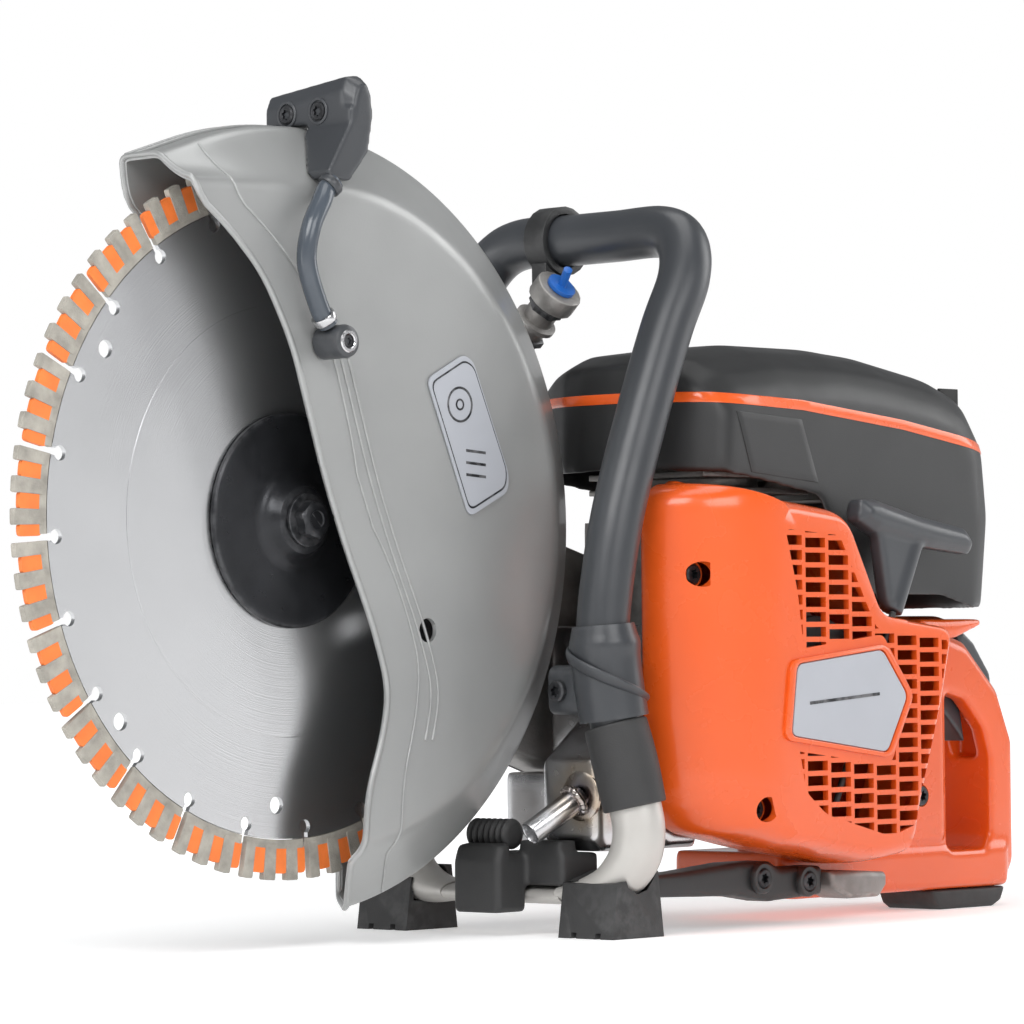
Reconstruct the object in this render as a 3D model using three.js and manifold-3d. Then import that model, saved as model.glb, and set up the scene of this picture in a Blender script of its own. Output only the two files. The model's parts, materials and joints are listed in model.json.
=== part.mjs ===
// Petrol cut-off saw with a 350 mm diamond blade, about 680 mm long.
// Millimetres, +X forward (towards the blade), +Y to the saw's left, +Z up.
// Everything is laid out from the blade's centre, and the finished group is then moved so that
// the origin is the middle of the bottom of its bounding box, on the ground it stands on.
import * as THREE from 'three';
import { mergeVertices } from 'three/addons/utils/BufferGeometryUtils.js';
import Module from 'manifold-3d';

const wasm = await Module();
wasm.setup();

// ---------- driving dimensions ----------
const GAP = 0.3; // space left between touching pieces
const GROUND_Z = -208; // ground, measured from the blade's centre

const BLADE = { r: 175, half: 1.6, slots: 24, slotWidth: 3.5, slotDepthR: 149, keyholeR: 3.5, bore: 12.7 };
const FLANGE = { r: 52.5, thick: 5, hubR: 14.6, hubEnd: 13.5 };
const SPINDLE_R = 8;
const BELT = { y0: -46, y1: -32, drivenR: 42, driveR: 21, thick: 3 };

const GUARD = {
  rimR: 192.5, sideR: 160, farY: -18, rimY: 8, nearY: 32, wall: 2.5, hubHoleR: 38, noseDroop: 14,
};
const CRANK = { x: -275, y: 26, z: -84, shaftR: 8, webR: 28 }; // crankshaft axis runs along Y
const TUBE_R = 13.4; // handle tube
const LEG = { left: 75.5, right: -73.5 }; // where the handle's legs stand, along Y
const TOP_BAR = { x: -220, z: 150 };

// ---------- solids ----------
function solidOf(geometry) {
  const bare = geometry.index ? geometry.toNonIndexed() : geometry.clone();
  bare.deleteAttribute('normal');
  bare.deleteAttribute('uv');
  const merged = mergeVertices(bare, 1e-4);
  return new wasm.Manifold(new wasm.Mesh({
    numProp: 3,
    vertProperties: new Float32Array(merged.attributes.position.array),
    triVerts: new Uint32Array(merged.index.array),
  }));
}

function geometryOf(solid) {
  const mesh = solid.getMesh();
  const geometry = new THREE.BufferGeometry();
  geometry.setAttribute('position', new THREE.BufferAttribute(new Float32Array(mesh.vertProperties), 3));
  geometry.setIndex(new THREE.BufferAttribute(new Uint32Array(mesh.triVerts), 1));
  geometry.computeVertexNormals();
  return geometry;
}

const join = (...solids) => solids.reduce((sum, next) => sum.add(next));
const cut = (solid, ...tools) => tools.reduce((rest, tool) => rest.subtract(tool), solid);

function box(x0, x1, y0, y1, z0, z1) {
  const geometry = new THREE.BoxGeometry(x1 - x0, y1 - y0, z1 - z0);
  geometry.translate((x0 + x1) / 2, (y0 + y1) / 2, (z0 + z1) / 2);
  return solidOf(geometry);
}

// A side outline of [x, z] points, drawn out along Y.
function slab(points, y0, y1, bevel = 0, bevelSteps = 1) {
  const shape = new THREE.Shape(points.map(([x, z]) => new THREE.Vector2(x, z)));
  const geometry = new THREE.ExtrudeGeometry(shape, {
    depth: y1 - y0 - 2 * bevel,
    bevelEnabled: bevel > 0,
    bevelThickness: bevel,
    bevelSize: bevel,
    bevelOffset: -bevel,
    bevelSegments: bevelSteps,
    curveSegments: 6,
  });
  geometry.rotateX(Math.PI / 2);
  geometry.translate(0, y1 - bevel, 0);
  return solidOf(geometry);
}

// A solid through side outlines: each section is [y, points], all with the same number of points.
function loft(sections) {
  const flat = sections[0][1].map(([x, z]) => new THREE.Vector2(x, z));
  const ordered = THREE.ShapeUtils.isClockWise(flat)
    ? sections.map(([y, points]) => [y, [...points].reverse()])
    : sections;
  const count = flat.length;
  const capOf = ([, points]) =>
    THREE.ShapeUtils.triangulateShape(points.map(([x, z]) => new THREE.Vector2(x, z)), []);
  const position = ordered.flatMap(([y, points]) => points.flatMap(([x, z]) => [x, y, z]));
  const last = (ordered.length - 1) * count;
  const index = [
    ...capOf(ordered[0]).flat(),
    ...capOf(ordered.at(-1)).flatMap(([a, b, c]) => [last + a, last + c, last + b]),
  ];
  for (let ring = 0; ring < ordered.length - 1; ring += 1) {
    for (let i = 0; i < count; i += 1) {
      const here = ring * count + i;
      const next = ring * count + ((i + 1) % count);
      index.push(here, next + count, next, here, here + count, next + count);
    }
  }
  const geometry = new THREE.BufferGeometry();
  geometry.setAttribute('position', new THREE.Float32BufferAttribute(position, 3));
  geometry.setIndex(index);
  return solidOf(geometry);
}

// A solid turned about Y through (x, z), from a closed [radius, y] profile.
function turned(profile, segments, x = 0, z = 0) {
  const points = profile.map(([r, y]) => new THREE.Vector2(r, y));
  const outward = THREE.ShapeUtils.isClockWise(points) ? points.reverse() : points;
  const geometry = new THREE.LatheGeometry(outward, segments);
  geometry.translate(x, 0, z);
  return solidOf(geometry);
}

const disc = (r, y0, y1, segments, x = 0, z = 0) =>
  turned([[0, y0], [r, y0], [r, y1], [0, y1]], segments, x, z);

const ring = (rIn, rOut, y0, y1, segments, x = 0, z = 0) =>
  turned([[rIn, y0], [rOut, y0], [rOut, y1], [rIn, y1], [rIn, y0]], segments, x, z);

// A round rod between two points.
function rod(from, to, r, segments = 10) {
  const a = new THREE.Vector3(...from);
  const b = new THREE.Vector3(...to);
  const along = b.clone().sub(a);
  const geometry = new THREE.CylinderGeometry(r, r, along.length(), segments);
  const turn = new THREE.Quaternion().setFromUnitVectors(new THREE.Vector3(0, 1, 0), along.normalize());
  geometry.applyQuaternion(turn);
  const middle = a.add(b).multiplyScalar(0.5);
  geometry.translate(middle.x, middle.y, middle.z);
  return solidOf(geometry);
}

// A tube of round or flattened section along a smooth curve through the points.
function bentTube(points, r, steps, sides = 12, flat = 1) {
  const curve = new THREE.CatmullRomCurve3(points.map((p) => new THREE.Vector3(...p)), false, 'centripetal');
  const section = new THREE.Shape(Array.from({ length: sides }, (_, i) => {
    const angle = (2 * Math.PI * i) / sides;
    return new THREE.Vector2(r * Math.cos(angle), r * flat * Math.sin(angle));
  }));
  return solidOf(new THREE.ExtrudeGeometry(section, { steps, extrudePath: curve, bevelEnabled: false }));
}

// Points on a round arc in the XZ plane, angles in degrees from +X towards +Z.
function arc(cx, cz, r, fromDeg, toDeg, count) {
  return Array.from({ length: count }, (_, i) => {
    const angle = THREE.MathUtils.degToRad(fromDeg + ((toDeg - fromDeg) * i) / (count - 1));
    return [cx + r * Math.cos(angle), cz + r * Math.sin(angle)];
  });
}

// The outline of a belt stretched over two round pulleys.
function beltOutline(rFront, rRear, count) {
  const dx = CRANK.x;
  const dz = CRANK.z;
  const line = THREE.MathUtils.radToDeg(Math.atan2(dz, dx));
  const lean = THREE.MathUtils.radToDeg(Math.acos((rFront - rRear) / Math.hypot(dx, dz)));
  return [
    ...arc(0, 0, rFront, line + lean, line + 360 - lean, count),
    ...arc(dx, dz, rRear, line - lean, line + lean, count),
  ];
}

// ---------- the model ----------
const model = new THREE.Group();

const PAINT = {
  blade: [0xb9bcc0, 0.28, 1.0],
  darkSteel: [0x2b2c2e, 0.45, 0.8],
  steel: [0xa9adb2, 0.35, 0.9],
  guard: [0xc4c6c4, 0.38, 0.55],
  cast: [0x9d9a92, 0.55, 0.6],
  orange: [0xe2621b, 0.3, 0.0],
  charcoal: [0x3a3b3d, 0.5, 0.0],
  grip: [0x47494d, 0.55, 0.0],
  rubber: [0x2a2b2c, 0.85, 0.0],
  hose: [0x343b42, 0.3, 0.0],
  bareTube: [0xd8d6d2, 0.45, 0.7],
  badge: [0xc9ccd2, 0.35, 0.1],
  blue: [0x1f5fae, 0.4, 0.0],
  red: [0xb3231a, 0.4, 0.0],
};

function add(name, paint, solid) {
  const [color, roughness, metalness] = PAINT[paint];
  const mesh = new THREE.Mesh(
    geometryOf(solid),
    new THREE.MeshStandardMaterial({ color, roughness, metalness }),
  );
  mesh.name = name;
  model.add(mesh);
}

// ---------- blade and spindle ----------
function bladeOutline() {
  const outline = [];
  const pitch = 360 / BLADE.slots;
  const slotHalf = THREE.MathUtils.radToDeg(BLADE.slotWidth / 2 / BLADE.r);
  const innerHalf = THREE.MathUtils.radToDeg(BLADE.slotWidth / 2 / BLADE.slotDepthR);
  const keyHalf = THREE.MathUtils.radToDeg(BLADE.keyholeR / BLADE.slotDepthR);
  const firstSlot = 90 - 33.5;
  const at = (r, deg) => {
    const angle = THREE.MathUtils.degToRad(deg);
    outline.push([r * Math.cos(angle), r * Math.sin(angle)]);
  };
  for (let i = 0; i < BLADE.slots; i += 1) {
    const middle = firstSlot + i * pitch;
    at(BLADE.r, middle - slotHalf);
    at(BLADE.slotDepthR + 3, middle - innerHalf);
    at(BLADE.slotDepthR, middle - keyHalf);
    at(BLADE.slotDepthR - BLADE.keyholeR, middle);
    at(BLADE.slotDepthR, middle + keyHalf);
    at(BLADE.slotDepthR + 3, middle + innerHalf);
    at(BLADE.r, middle + slotHalf);
    at(BLADE.r, middle + pitch / 3);
    at(BLADE.r, middle + (2 * pitch) / 3);
  }
  return outline;
}

function makeBladeGroup() {
  add('blade', 'blade', cut(
    slab(bladeOutline(), -BLADE.half, BLADE.half),
    disc(BLADE.bore, -5, 5, 24),
  ));
  const face = BLADE.half + GAP;
  add('outer_flange', 'darkSteel', turned([
    [SPINDLE_R + GAP, face], [FLANGE.r, face], [FLANGE.r, face + 3], [FLANGE.r - 3, face + FLANGE.thick],
    [FLANGE.hubR + 3, face + FLANGE.thick + 2.5], [FLANGE.hubR, FLANGE.hubEnd],
    [SPINDLE_R + GAP, FLANGE.hubEnd], [SPINDLE_R + GAP, face],
  ], 32));
  add('inner_flange', 'darkSteel', turned([
    [SPINDLE_R + GAP, -face - 7], [FLANGE.r - 8, -face - 7], [FLANGE.r, -face - 3], [FLANGE.r, -face],
    [BLADE.bore - GAP, -face], [BLADE.bore - GAP, BLADE.half], [SPINDLE_R + GAP, BLADE.half],
    [SPINDLE_R + GAP, -face - 7],
  ], 32));
  const threadR = 5;
  const boltSeat = FLANGE.hubEnd + GAP;
  add('spindle_shaft', 'steel', turned([
    [0, -53], [SPINDLE_R, -53], [SPINDLE_R, FLANGE.hubEnd], [threadR + GAP, FLANGE.hubEnd],
    [threadR + GAP, -6], [0, -6],
  ], 20));
  add('blade_bolt', 'darkSteel', join(
    disc(threadR, -5, boltSeat + 1, 12),
    disc(13, boltSeat, boltSeat + 2, 24),
    disc(9.4, boltSeat + 1, boltSeat + 8, 6),
  ));
  add('driven_pulley', 'steel', ring(SPINDLE_R + GAP, BELT.drivenR, BELT.y0 - 2, BELT.y1 + 2, 32));
}

// ---------- blade guard and what rides on it ----------
// The open front edge of the guard, from the nose down past the spindle to the tail.
const GUARD_FRONT_EDGE = [
  [89, 230], [89, 170], [86, 150], [68, 139], [44, 117], [25, 84], [4, 19], [-9, -13], [-28, -53],
  [-38, -83], [-33, -107], [-23, -132], [-20, -163], [-6, -178], [-6, -230],
];

function guardBody(inset) {
  const { rimR, sideR, farY, rimY, nearY, noseDroop } = GUARD;
  const round = turned([
    [0, farY + inset], [rimR - inset, farY + inset], [rimR - inset, rimY - inset * 0.4],
    [sideR - inset * 0.5, nearY - inset], [0, nearY - inset],
  ], 72);
  const section = new THREE.Shape([
    new THREE.Vector2(0, farY + inset), new THREE.Vector2(rimR - inset, farY + inset),
    new THREE.Vector2(rimR - inset, rimY - inset * 0.4), new THREE.Vector2(sideR - inset * 0.5, nearY - inset),
    new THREE.Vector2(0, nearY - inset),
  ]);
  const nose = new THREE.ExtrudeGeometry(section, { depth: 140, bevelEnabled: false });
  // section (z, y) drawn along X: turn the shape's x up to Z and its depth onto X
  nose.applyMatrix4(new THREE.Matrix4().set(
    0, 0, 1, 0,
    0, 1, 0, 0,
    1, 0, 0, 0,
    0, 0, 0, 1,
  ));
  nose.index = null;
  const flipped = nose.attributes.position;
  for (let i = 0; i < flipped.count; i += 3) {
    const b = new THREE.Vector3().fromBufferAttribute(flipped, i + 1);
    const c = new THREE.Vector3().fromBufferAttribute(flipped, i + 2);
    flipped.setXYZ(i + 1, c.x, c.y, c.z);
    flipped.setXYZ(i + 2, b.x, b.y, b.z);
  }
  nose.rotateY(THREE.MathUtils.degToRad(noseDroop));
  return join(round, solidOf(nose));
}

function makeGuardGroup() {
  const coverage = slab([...GUARD_FRONT_EDGE, [-230, -230], [-230, 230]], -40, 60);
  // The tail's end runs back at a slant from the near side to the far side.
  const slant = new THREE.Shape([
    new THREE.Vector2(-8, -36), new THREE.Vector2(-54, 22), new THREE.Vector2(60, 22), new THREE.Vector2(60, -36),
  ]);
  const tailCut = new THREE.ExtrudeGeometry(slant, { depth: 70, bevelEnabled: false });
  tailCut.rotateX(Math.PI);
  tailCut.translate(0, 0, -170);
  const shell = cut(
    guardBody(0),
    solidOf(tailCut),
    guardBody(GUARD.wall),
    disc(GUARD.hubHoleR, GUARD.farY - 4, GUARD.farY + 6, 32),
    disc(6, GUARD.nearY - 6, GUARD.nearY + 6, 12, -65, -54),
  );
  add('blade_guard', 'guard', shell.intersect(coverage));

  const face = GUARD.nearY + GAP;
  add('guard_plate', 'badge', slab([[-65, 70], [-91, 83], [-98, 80], [-123, 24], [-122, 15], [-94, 2]],
    face, face + 1.2));

  // The adjusting grip is a bar across the guard with a flap down its near side for the hose.
  const bar = [[-5, 193], [-5, 208], [-8, 215], [-17, 216], [-20, 210], [-20, 193]];
  const flap = [[-5, 200], [-5, 192], [10, 168], [9, 164], [-4, 163], [-17, 178], [-20, 194], [-20, 200]];
  add('guard_grip', 'grip', join(
    loft([[-18, bar.map(([x, z]) => [x, z - (z > 200 ? 6 : 0)])], [36, bar], [43, bar.map(([x, z]) => [
      x + (x > -12 ? -3 : 1), z - (z > 200 ? 5 : 0)])]]),
    cut(slab(flap, 12, 42.5), guardBody(-GAP)),
  ));
  for (const [i, y] of [-2, 20].entries()) {
    add(`guard_grip_screw_${i + 1}`, 'darkSteel', rod([-5 + GAP, y, 199], [-2.5, y, 199], 4.5, 12));
  }
  add('guard_water_hose', 'hose', bentTube([
    [8.5, 39, 158.5], [14, 41, 152], [22, 42, 139], [24, 41, 122], [16, 41, 101], [10, 41, 95],
  ], 4.5, 16, 10));
  add('guard_nozzle', 'grip', disc(8, face, 50, 16, 5, 85));
}

// ---------- cutting arm, belt and clutch ----------
function makeArm() {
  const armRight = -56;
  const armLeft = -24;
  const outline = beltOutline(52, 58, 12);
  const cavity = beltOutline(48, 54, 12);
  const bearingR = 17;
  add('cutting_arm', 'cast', cut(
    join(slab(outline, armRight, armLeft), disc(34, armLeft - 1, -12, 32)),
    slab(cavity, armRight - 4, armLeft - 4),
    disc(bearingR, -40, -5, 24),
    disc(14, -40, -5, 24, CRANK.x, CRANK.z),
  ));
  add('spindle_bearing', 'steel', ring(SPINDLE_R + GAP, bearingR - GAP, -25, -14, 24));
  const coverIn = armRight - GAP;
  add('belt_cover', 'charcoal', cut(
    join(slab(outline, coverIn - 2, coverIn), disc(50, -73, coverIn - 1, 32, CRANK.x, CRANK.z)),
    disc(47, -70.5, coverIn + 2, 32, CRANK.x, CRANK.z),
  ));
  const beltIn = 1; // the belt's flat facets stay clear of the pulleys
  const beltOut = beltIn + BELT.thick;
  add('drive_belt', 'rubber', cut(
    slab(beltOutline(BELT.drivenR + beltOut, BELT.driveR + beltOut, 12), BELT.y0, BELT.y1),
    slab(beltOutline(BELT.drivenR + beltIn, BELT.driveR + beltIn, 12), BELT.y0 - 2, BELT.y1 + 2),
  ));
  const shaft = CRANK.shaftR + GAP;
  add('clutch_drum', 'steel', turned([
    [shaft, BELT.y1 + 1], [BELT.driveR, BELT.y1 + 1], [BELT.driveR, BELT.y0 - 1], [39, BELT.y0 - 1],
    [39, -66], [36.5, -66], [36.5, BELT.y0 - 3.5], [shaft, BELT.y0 - 3.5], [shaft, BELT.y1 + 1],
  ], 28, CRANK.x, CRANK.z));
}

// ---------- engine ----------
function makeEngine() {
  const { x, y, z, shaftR, webR } = CRANK;
  add('crankshaft', 'steel', turned([
    [0, -67], [shaftR, -67], [shaftR, y - 18], [webR, y - 18], [webR, y + 18], [shaftR, y + 18],
    [shaftR, 82], [0, 82],
  ], 24, x, z));
  add('clutch_shoes', 'darkSteel', ring(shaftR + GAP, 35, -65, BELT.y0 - 5, 24, x, z));
  const blades = Array.from({ length: 10 }, (_, i) => {
    const angle = (Math.PI * i) / 5;
    return rod(
      [x + 30 * Math.cos(angle), 80, z + 30 * Math.sin(angle)],
      [x + 44 * Math.cos(angle), 80, z + 44 * Math.sin(angle)], 3, 4);
  });
  add('flywheel', 'cast', join(ring(shaftR + GAP, 46, 65, 79, 32, x, z), ...blades));

  const caseBody = slab([
    [-232, 2], [-345, 2], [-345, -100], [-330, -140], [-300, -152], [-262, -152], [-236, -135], [-232, -110],
  ], y - 46, y + 36, 4);
  const boreR = 22;
  add('crankcase', 'cast', cut(
    caseBody,
    disc(webR + 4, y - 22, y + 22, 28, x, z),
    disc(shaftR + 1, y - 60, y + 60, 16, x, z),
    rod([x, y, z], [x, y, 20], boreR + 3, 24),
  ));
  const fins = Array.from({ length: 6 }, (_, i) =>
    box(x - 42, x + 42, y - 40, y + 40, 16 + i * 8, 19 + i * 8));
  add('cylinder', 'cast', cut(
    join(rod([x, y, 2 + GAP], [x, y, 66], boreR + 9, 24), ...fins),
    rod([x, y, -4], [x, y, 56], boreR, 24),
  ));
  add('piston', 'steel', rod([x, y, 6], [x, y, 42], boreR - GAP, 24));
  add('spark_plug', 'badge', join(
    rod([x, y, 66 + GAP], [x, y, 70], 9, 6),
    rod([x, y, 69], [x, y, 84], 5, 12),
  ));
  add('carburettor', 'cast', join(
    box(-386, -350, y - 20, y + 20, 14, 48),
    rod([-350, y, 30], [x - 45, y, 30], 11, 16),
  ));
  add('air_filter', 'grip', box(-440, -392, y - 42, y + 40, -10, 56));
}

function makeExhaust() {
  const box1 = [[-229, -52], [-203, -52], [-201, -60], [-201, -160], [-206, -166], [-229, -166]];
  const box2 = [[-204, -98], [-182, -98], [-153, -120], [-153, -160], [-160, -166], [-204, -166]];
  const lowBox = [[-222, -128], [-201, -128], [-201, -160], [-206, -166], [-222, -166]];
  const hollow1 = [[-226, -55], [-205, -55], [-204, -61], [-204, -159], [-207, -163], [-226, -163]];
  const hollow2 = [[-210, -101], [-183, -101], [-156, -122], [-156, -159], [-161, -163], [-210, -163]];
  const root = new THREE.Vector3(-152.5, 52, -138);
  const mouth = new THREE.Vector3(-124, 44, -156);
  const along = (part) => root.clone().lerp(mouth, part).toArray();
  add('muffler', 'steel', cut(
    join(slab(box1, -15, 64, 3), slab(box2, 24, 63, 3), slab(lowBox, -48, 20, 3)),
    slab(hollow1, -12, 61),
    slab(hollow2, 27, 60),
    rod(along(-0.4), along(0.3), 5, 20),
  ));
  add('exhaust_outlet', 'steel', cut(
    rod(along(0.12), along(1), 6.2, 20),
    rod(along(0), along(1.1), 5.2, 20),
  ));
}

// ---------- fuel tank with rear handle ----------
function makeRearHandle() {
  const tank = slab([[-437, -48], [-349, -48], [-349, -172], [-437, -172]], -18, 62, 4);
  const floorPlate = slab([[-300, -172], [-300, -190], [-312, -197], [-494, -197], [-494, -172]], -18, 60, 3);
  const loop = slab([
    [-425, -52], [-462, -62], [-490, -88], [-503, -117], [-503, -184], [-495, -197], [-425, -197],
  ], 20, 58, 5);
  const shelf = slab([[-388, -50], [-440, -50], [-442, -53], [-420, -60], [-388, -63]], 40, 84, 1);
  const fingers = slab([
    [-441, -90], [-458, -94], [-474, -110], [-479, -124], [-479, -168], [-472, -176], [-441, -176],
  ], 10, 70);
  const lockoutSlot = slab([[-462, -50], [-470, -82], [-484, -99], [-510, -99], [-510, -50]], 31, 47);
  const triggerSlot = slab([
    [-443, -70], [-453, -70], [-475, -91], [-487, -112], [-487, -126], [-441, -126],
  ], 31, 47);
  add('rear_handle', 'orange', cut(join(tank, floorPlate, loop, shelf), fingers, lockoutSlot, triggerSlot,
    rod([-395, -22, -90], [-395, -10, -90], 17, 20)));
  add('throttle_trigger', 'grip', slab([
    [-446, -75], [-452, -75], [-467, -94], [-472, -118], [-466, -112], [-456, -103], [-447, -96],
  ], 31.5, 46.5));
  add('throttle_lockout', 'grip', slab([
    [-467, -60], [-473, -79], [-487, -94.5], [-497, -94], [-495, -80], [-481, -63], [-472, -57],
  ], 31.5, 46.5));
  add('stop_switch', 'red', slab([[-414, -58], [-414, -66], [-428, -66], [-428, -58]], -23, -18 - GAP));
  add('choke_lever', 'charcoal', rod([-366, 62 + GAP, -62], [-366, 69, -62], 7, 16));
  add('fuel_cap', 'charcoal', rod([-395, -24, -90], [-395, -12, -90], 16, 20));
  add('rear_foot', 'rubber', slab([
    [-428, -197 - GAP], [-432, -205], [-437, GROUND_Z], [-482, GROUND_Z], [-489, -205], [-493, -197 - GAP],
  ], 18, 57));
}

// ---------- recoil starter ----------
const STARTER_OUTLINE = [
  [-180, 12], [-192, 20], [-229, 15], [-290, 8], [-317, -46], [-382, -54], [-372, -95], [-352, -155],
  [-348, -174], [-312, -178], [-240, -166], [-196, -157], [-180, -140],
];
const GRILLE = { columns: 6, rows: 8, x0: -238, z0: -2, pitchX: 21, pitchZ: 19, holeX: 17, holeZ: 12 };

function grilleHoles(y0, y1) {
  const holes = [];
  for (let row = 0; row < GRILLE.rows; row += 1) {
    for (let column = 0; column < GRILLE.columns; column += 1) {
      const x = GRILLE.x0 - column * GRILLE.pitchX;
      const z = GRILLE.z0 - row * GRILLE.pitchZ - column * 2;
      const pastTop = z > -50 && x < -285 + (z - 8) * 0.5 + 14;
      const behindBadge = x - GRILLE.holeX > -345 && x < -225 && z < -52 && z - GRILLE.holeZ > -128;
      const pastRear = x - GRILLE.holeX < -366 + (-z - 60) * 0.15;
      if (!pastTop && !behindBadge && !pastRear) {
        holes.push(box(x - GRILLE.holeX, x, y0, y1, z - GRILLE.holeZ, z));
      }
    }
  }
  return holes;
}

function makeStarter() {
  const inner = 71;
  const outer = 115;
  const wall = 3;
  const pull = new THREE.Vector3(-22, 0, 44).normalize();
  const ropeTop = new THREE.Vector3(-332, 110, -46.5);
  const ropeEnd = ropeTop.clone().addScaledVector(pull, -112);
  const outward = ropeTop.clone().addScaledVector(pull, 14);
  const inward = ropeTop.clone().addScaledVector(pull, -30);
  // The front of the cover sweeps back as it comes outwards; the other edges draw in a little.
  const section = (y, sweep, tuck, skin) => [y, STARTER_OUTLINE.map(([x, z]) => [
    x - sweep * Math.max(0, (x + 245) / 67) - skin * Math.sign(x + 278) + (x < -340 ? tuck : 0),
    -78 + (z + 78) * (1 - tuck / 85) - skin * Math.sign(z + 78),
  ])];
  const shell = cut(
    loft([section(inner, 0, 0, 0), section(78, 0, 0, 0), section(94, 14, 2, 0), section(105, 29, 4, 0),
      section(111, 42, 6, 0), section(outer, 60, 9, 0)]),
    loft([section(inner - 5, 0, 0, wall), section(76, 0, 0, wall), section(91, 14, 2, wall),
      section(102, 29, 4, wall), section(108, 42, 6, wall), section(outer - wall, 58, 9, wall)]),
  );
  const bolts = [[-195, -27, 92], [-226, -146, 105], [-356, -143, 108]];
  const bosses = bolts.map(([x, z, y]) => rod([x, inner + 1, z], [x, y - 2, z], 7, 12));
  const post = disc(6, 88, outer - 1, 16, CRANK.x, CRANK.z);
  const sockets = bolts.map(([x, z, y]) => rod([x, y - 6, z], [x, y + 12, z], 5.5, 12));
  add('starter_cover', 'orange', cut(
    join(shell, post, ...bosses),
    ...sockets,
    ...grilleHoles(outer - 8, outer + 4),
    rod(inward.toArray(), outward.toArray(), 4.5, 10),
  ));
  for (const [i, [x, z, y]] of bolts.entries()) {
    add(`starter_bolt_${i + 1}`, 'darkSteel', rod([x, y - 5.5, z], [x, y, z], 4.8, 12));
  }
  add('starter_badge', 'badge', slab([[-247, -73], [-315, -66], [-335, -90], [-318, -119], [-242, -109]],
    outer + GAP, outer + 2.5));
  add('starter_pulley', 'charcoal', ring(6 + GAP, 36, 90, 105, 28, CRANK.x, CRANK.z));
  add('starter_rope', 'rubber', rod(ropeTop.toArray(), ropeEnd.toArray(), 1.6, 8));
  const stemFoot = ropeTop.clone().addScaledVector(pull, GAP);
  const stemTop = stemFoot.clone().addScaledVector(pull, 42);
  add('starter_handle', 'grip', join(
    rod([stemFoot.x, 108, stemFoot.z], [stemTop.x, 108, stemTop.z], 6.5, 12),
    slab([[stemFoot.x + 7, stemFoot.z + 5], [-319, -8], [-312, 0], [-362, -6], [-352, -14],
      [stemFoot.x - 7, stemFoot.z + 5]], 103, 113, 2),
    slab([[-304, 12], [-316, 12], [-352, 4], [-390, -2], [-397, -9], [-394, -16], [-360, -13], [-314, -5],
      [-302, 1]], 99, 117, 5, 1),
  ));
}

// ---------- top cover ----------
function makeTopCover() {
  const outline = [
    [-193, 26], [-228, 21], [-294, 13], [-322, -36], [-340, -38], [-428, -38], [-472, -46], [-480, 5],
    [-475, 48], [-457, 73], [-430, 82], [-372, 91], [-330, 94], [-266, 94], [-215, 88], [-196, 80],
  ];
  const innerOutline = [
    [-197, 6], [-296, -6], [-326, -62], [-468, -66], [-476, 5], [-471, 46],
    [-454, 69], [-429, 78], [-372, 87], [-330, 90], [-266, 90], [-216, 84], [-200, 77],
  ];
  // From the flat top the cover rounds down to its sides and round its corners.
  const midY = 26;
  const rounding = [
    [66, 0.72, 0.6], [62, 0.78, 0.7], [54, 0.83, 0.83], [40, 0.9, 0.94], [24, 0.97, 1], [8, 1, 1],
  ];
  const section = (points, y, sx, sz) => [y, points.map(([x, z]) => [
    -300 + (x + 300) * sx, z > 20 ? 20 + (z - 20) * sz : z])];
  const sections = (points, shrink) => [
    ...rounding.map(([dy, sx, sz]) => section(points, midY - dy + shrink, sx, sz)),
    ...[...rounding].reverse().map(([dy, sx, sz]) => section(points, midY + dy - shrink, sx, sz)),
  ];
  const button = { x: -290, y: -40, z: 52 };
  add('top_cover', 'charcoal', cut(
    loft(sections(outline, 0)),
    loft(sections(innerOutline, 3)),
    slab(beltOutline(54, 60, 12), -75, -20),
    rod([button.x, button.y - 8, button.z], [button.x, button.y + 20, button.z], 7.5, 14),
  ));
  add('decompression_button', 'blue', rod(
    [button.x, button.y - 7, button.z], [button.x, button.y + 12, button.z], 6, 14));
}

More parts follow.
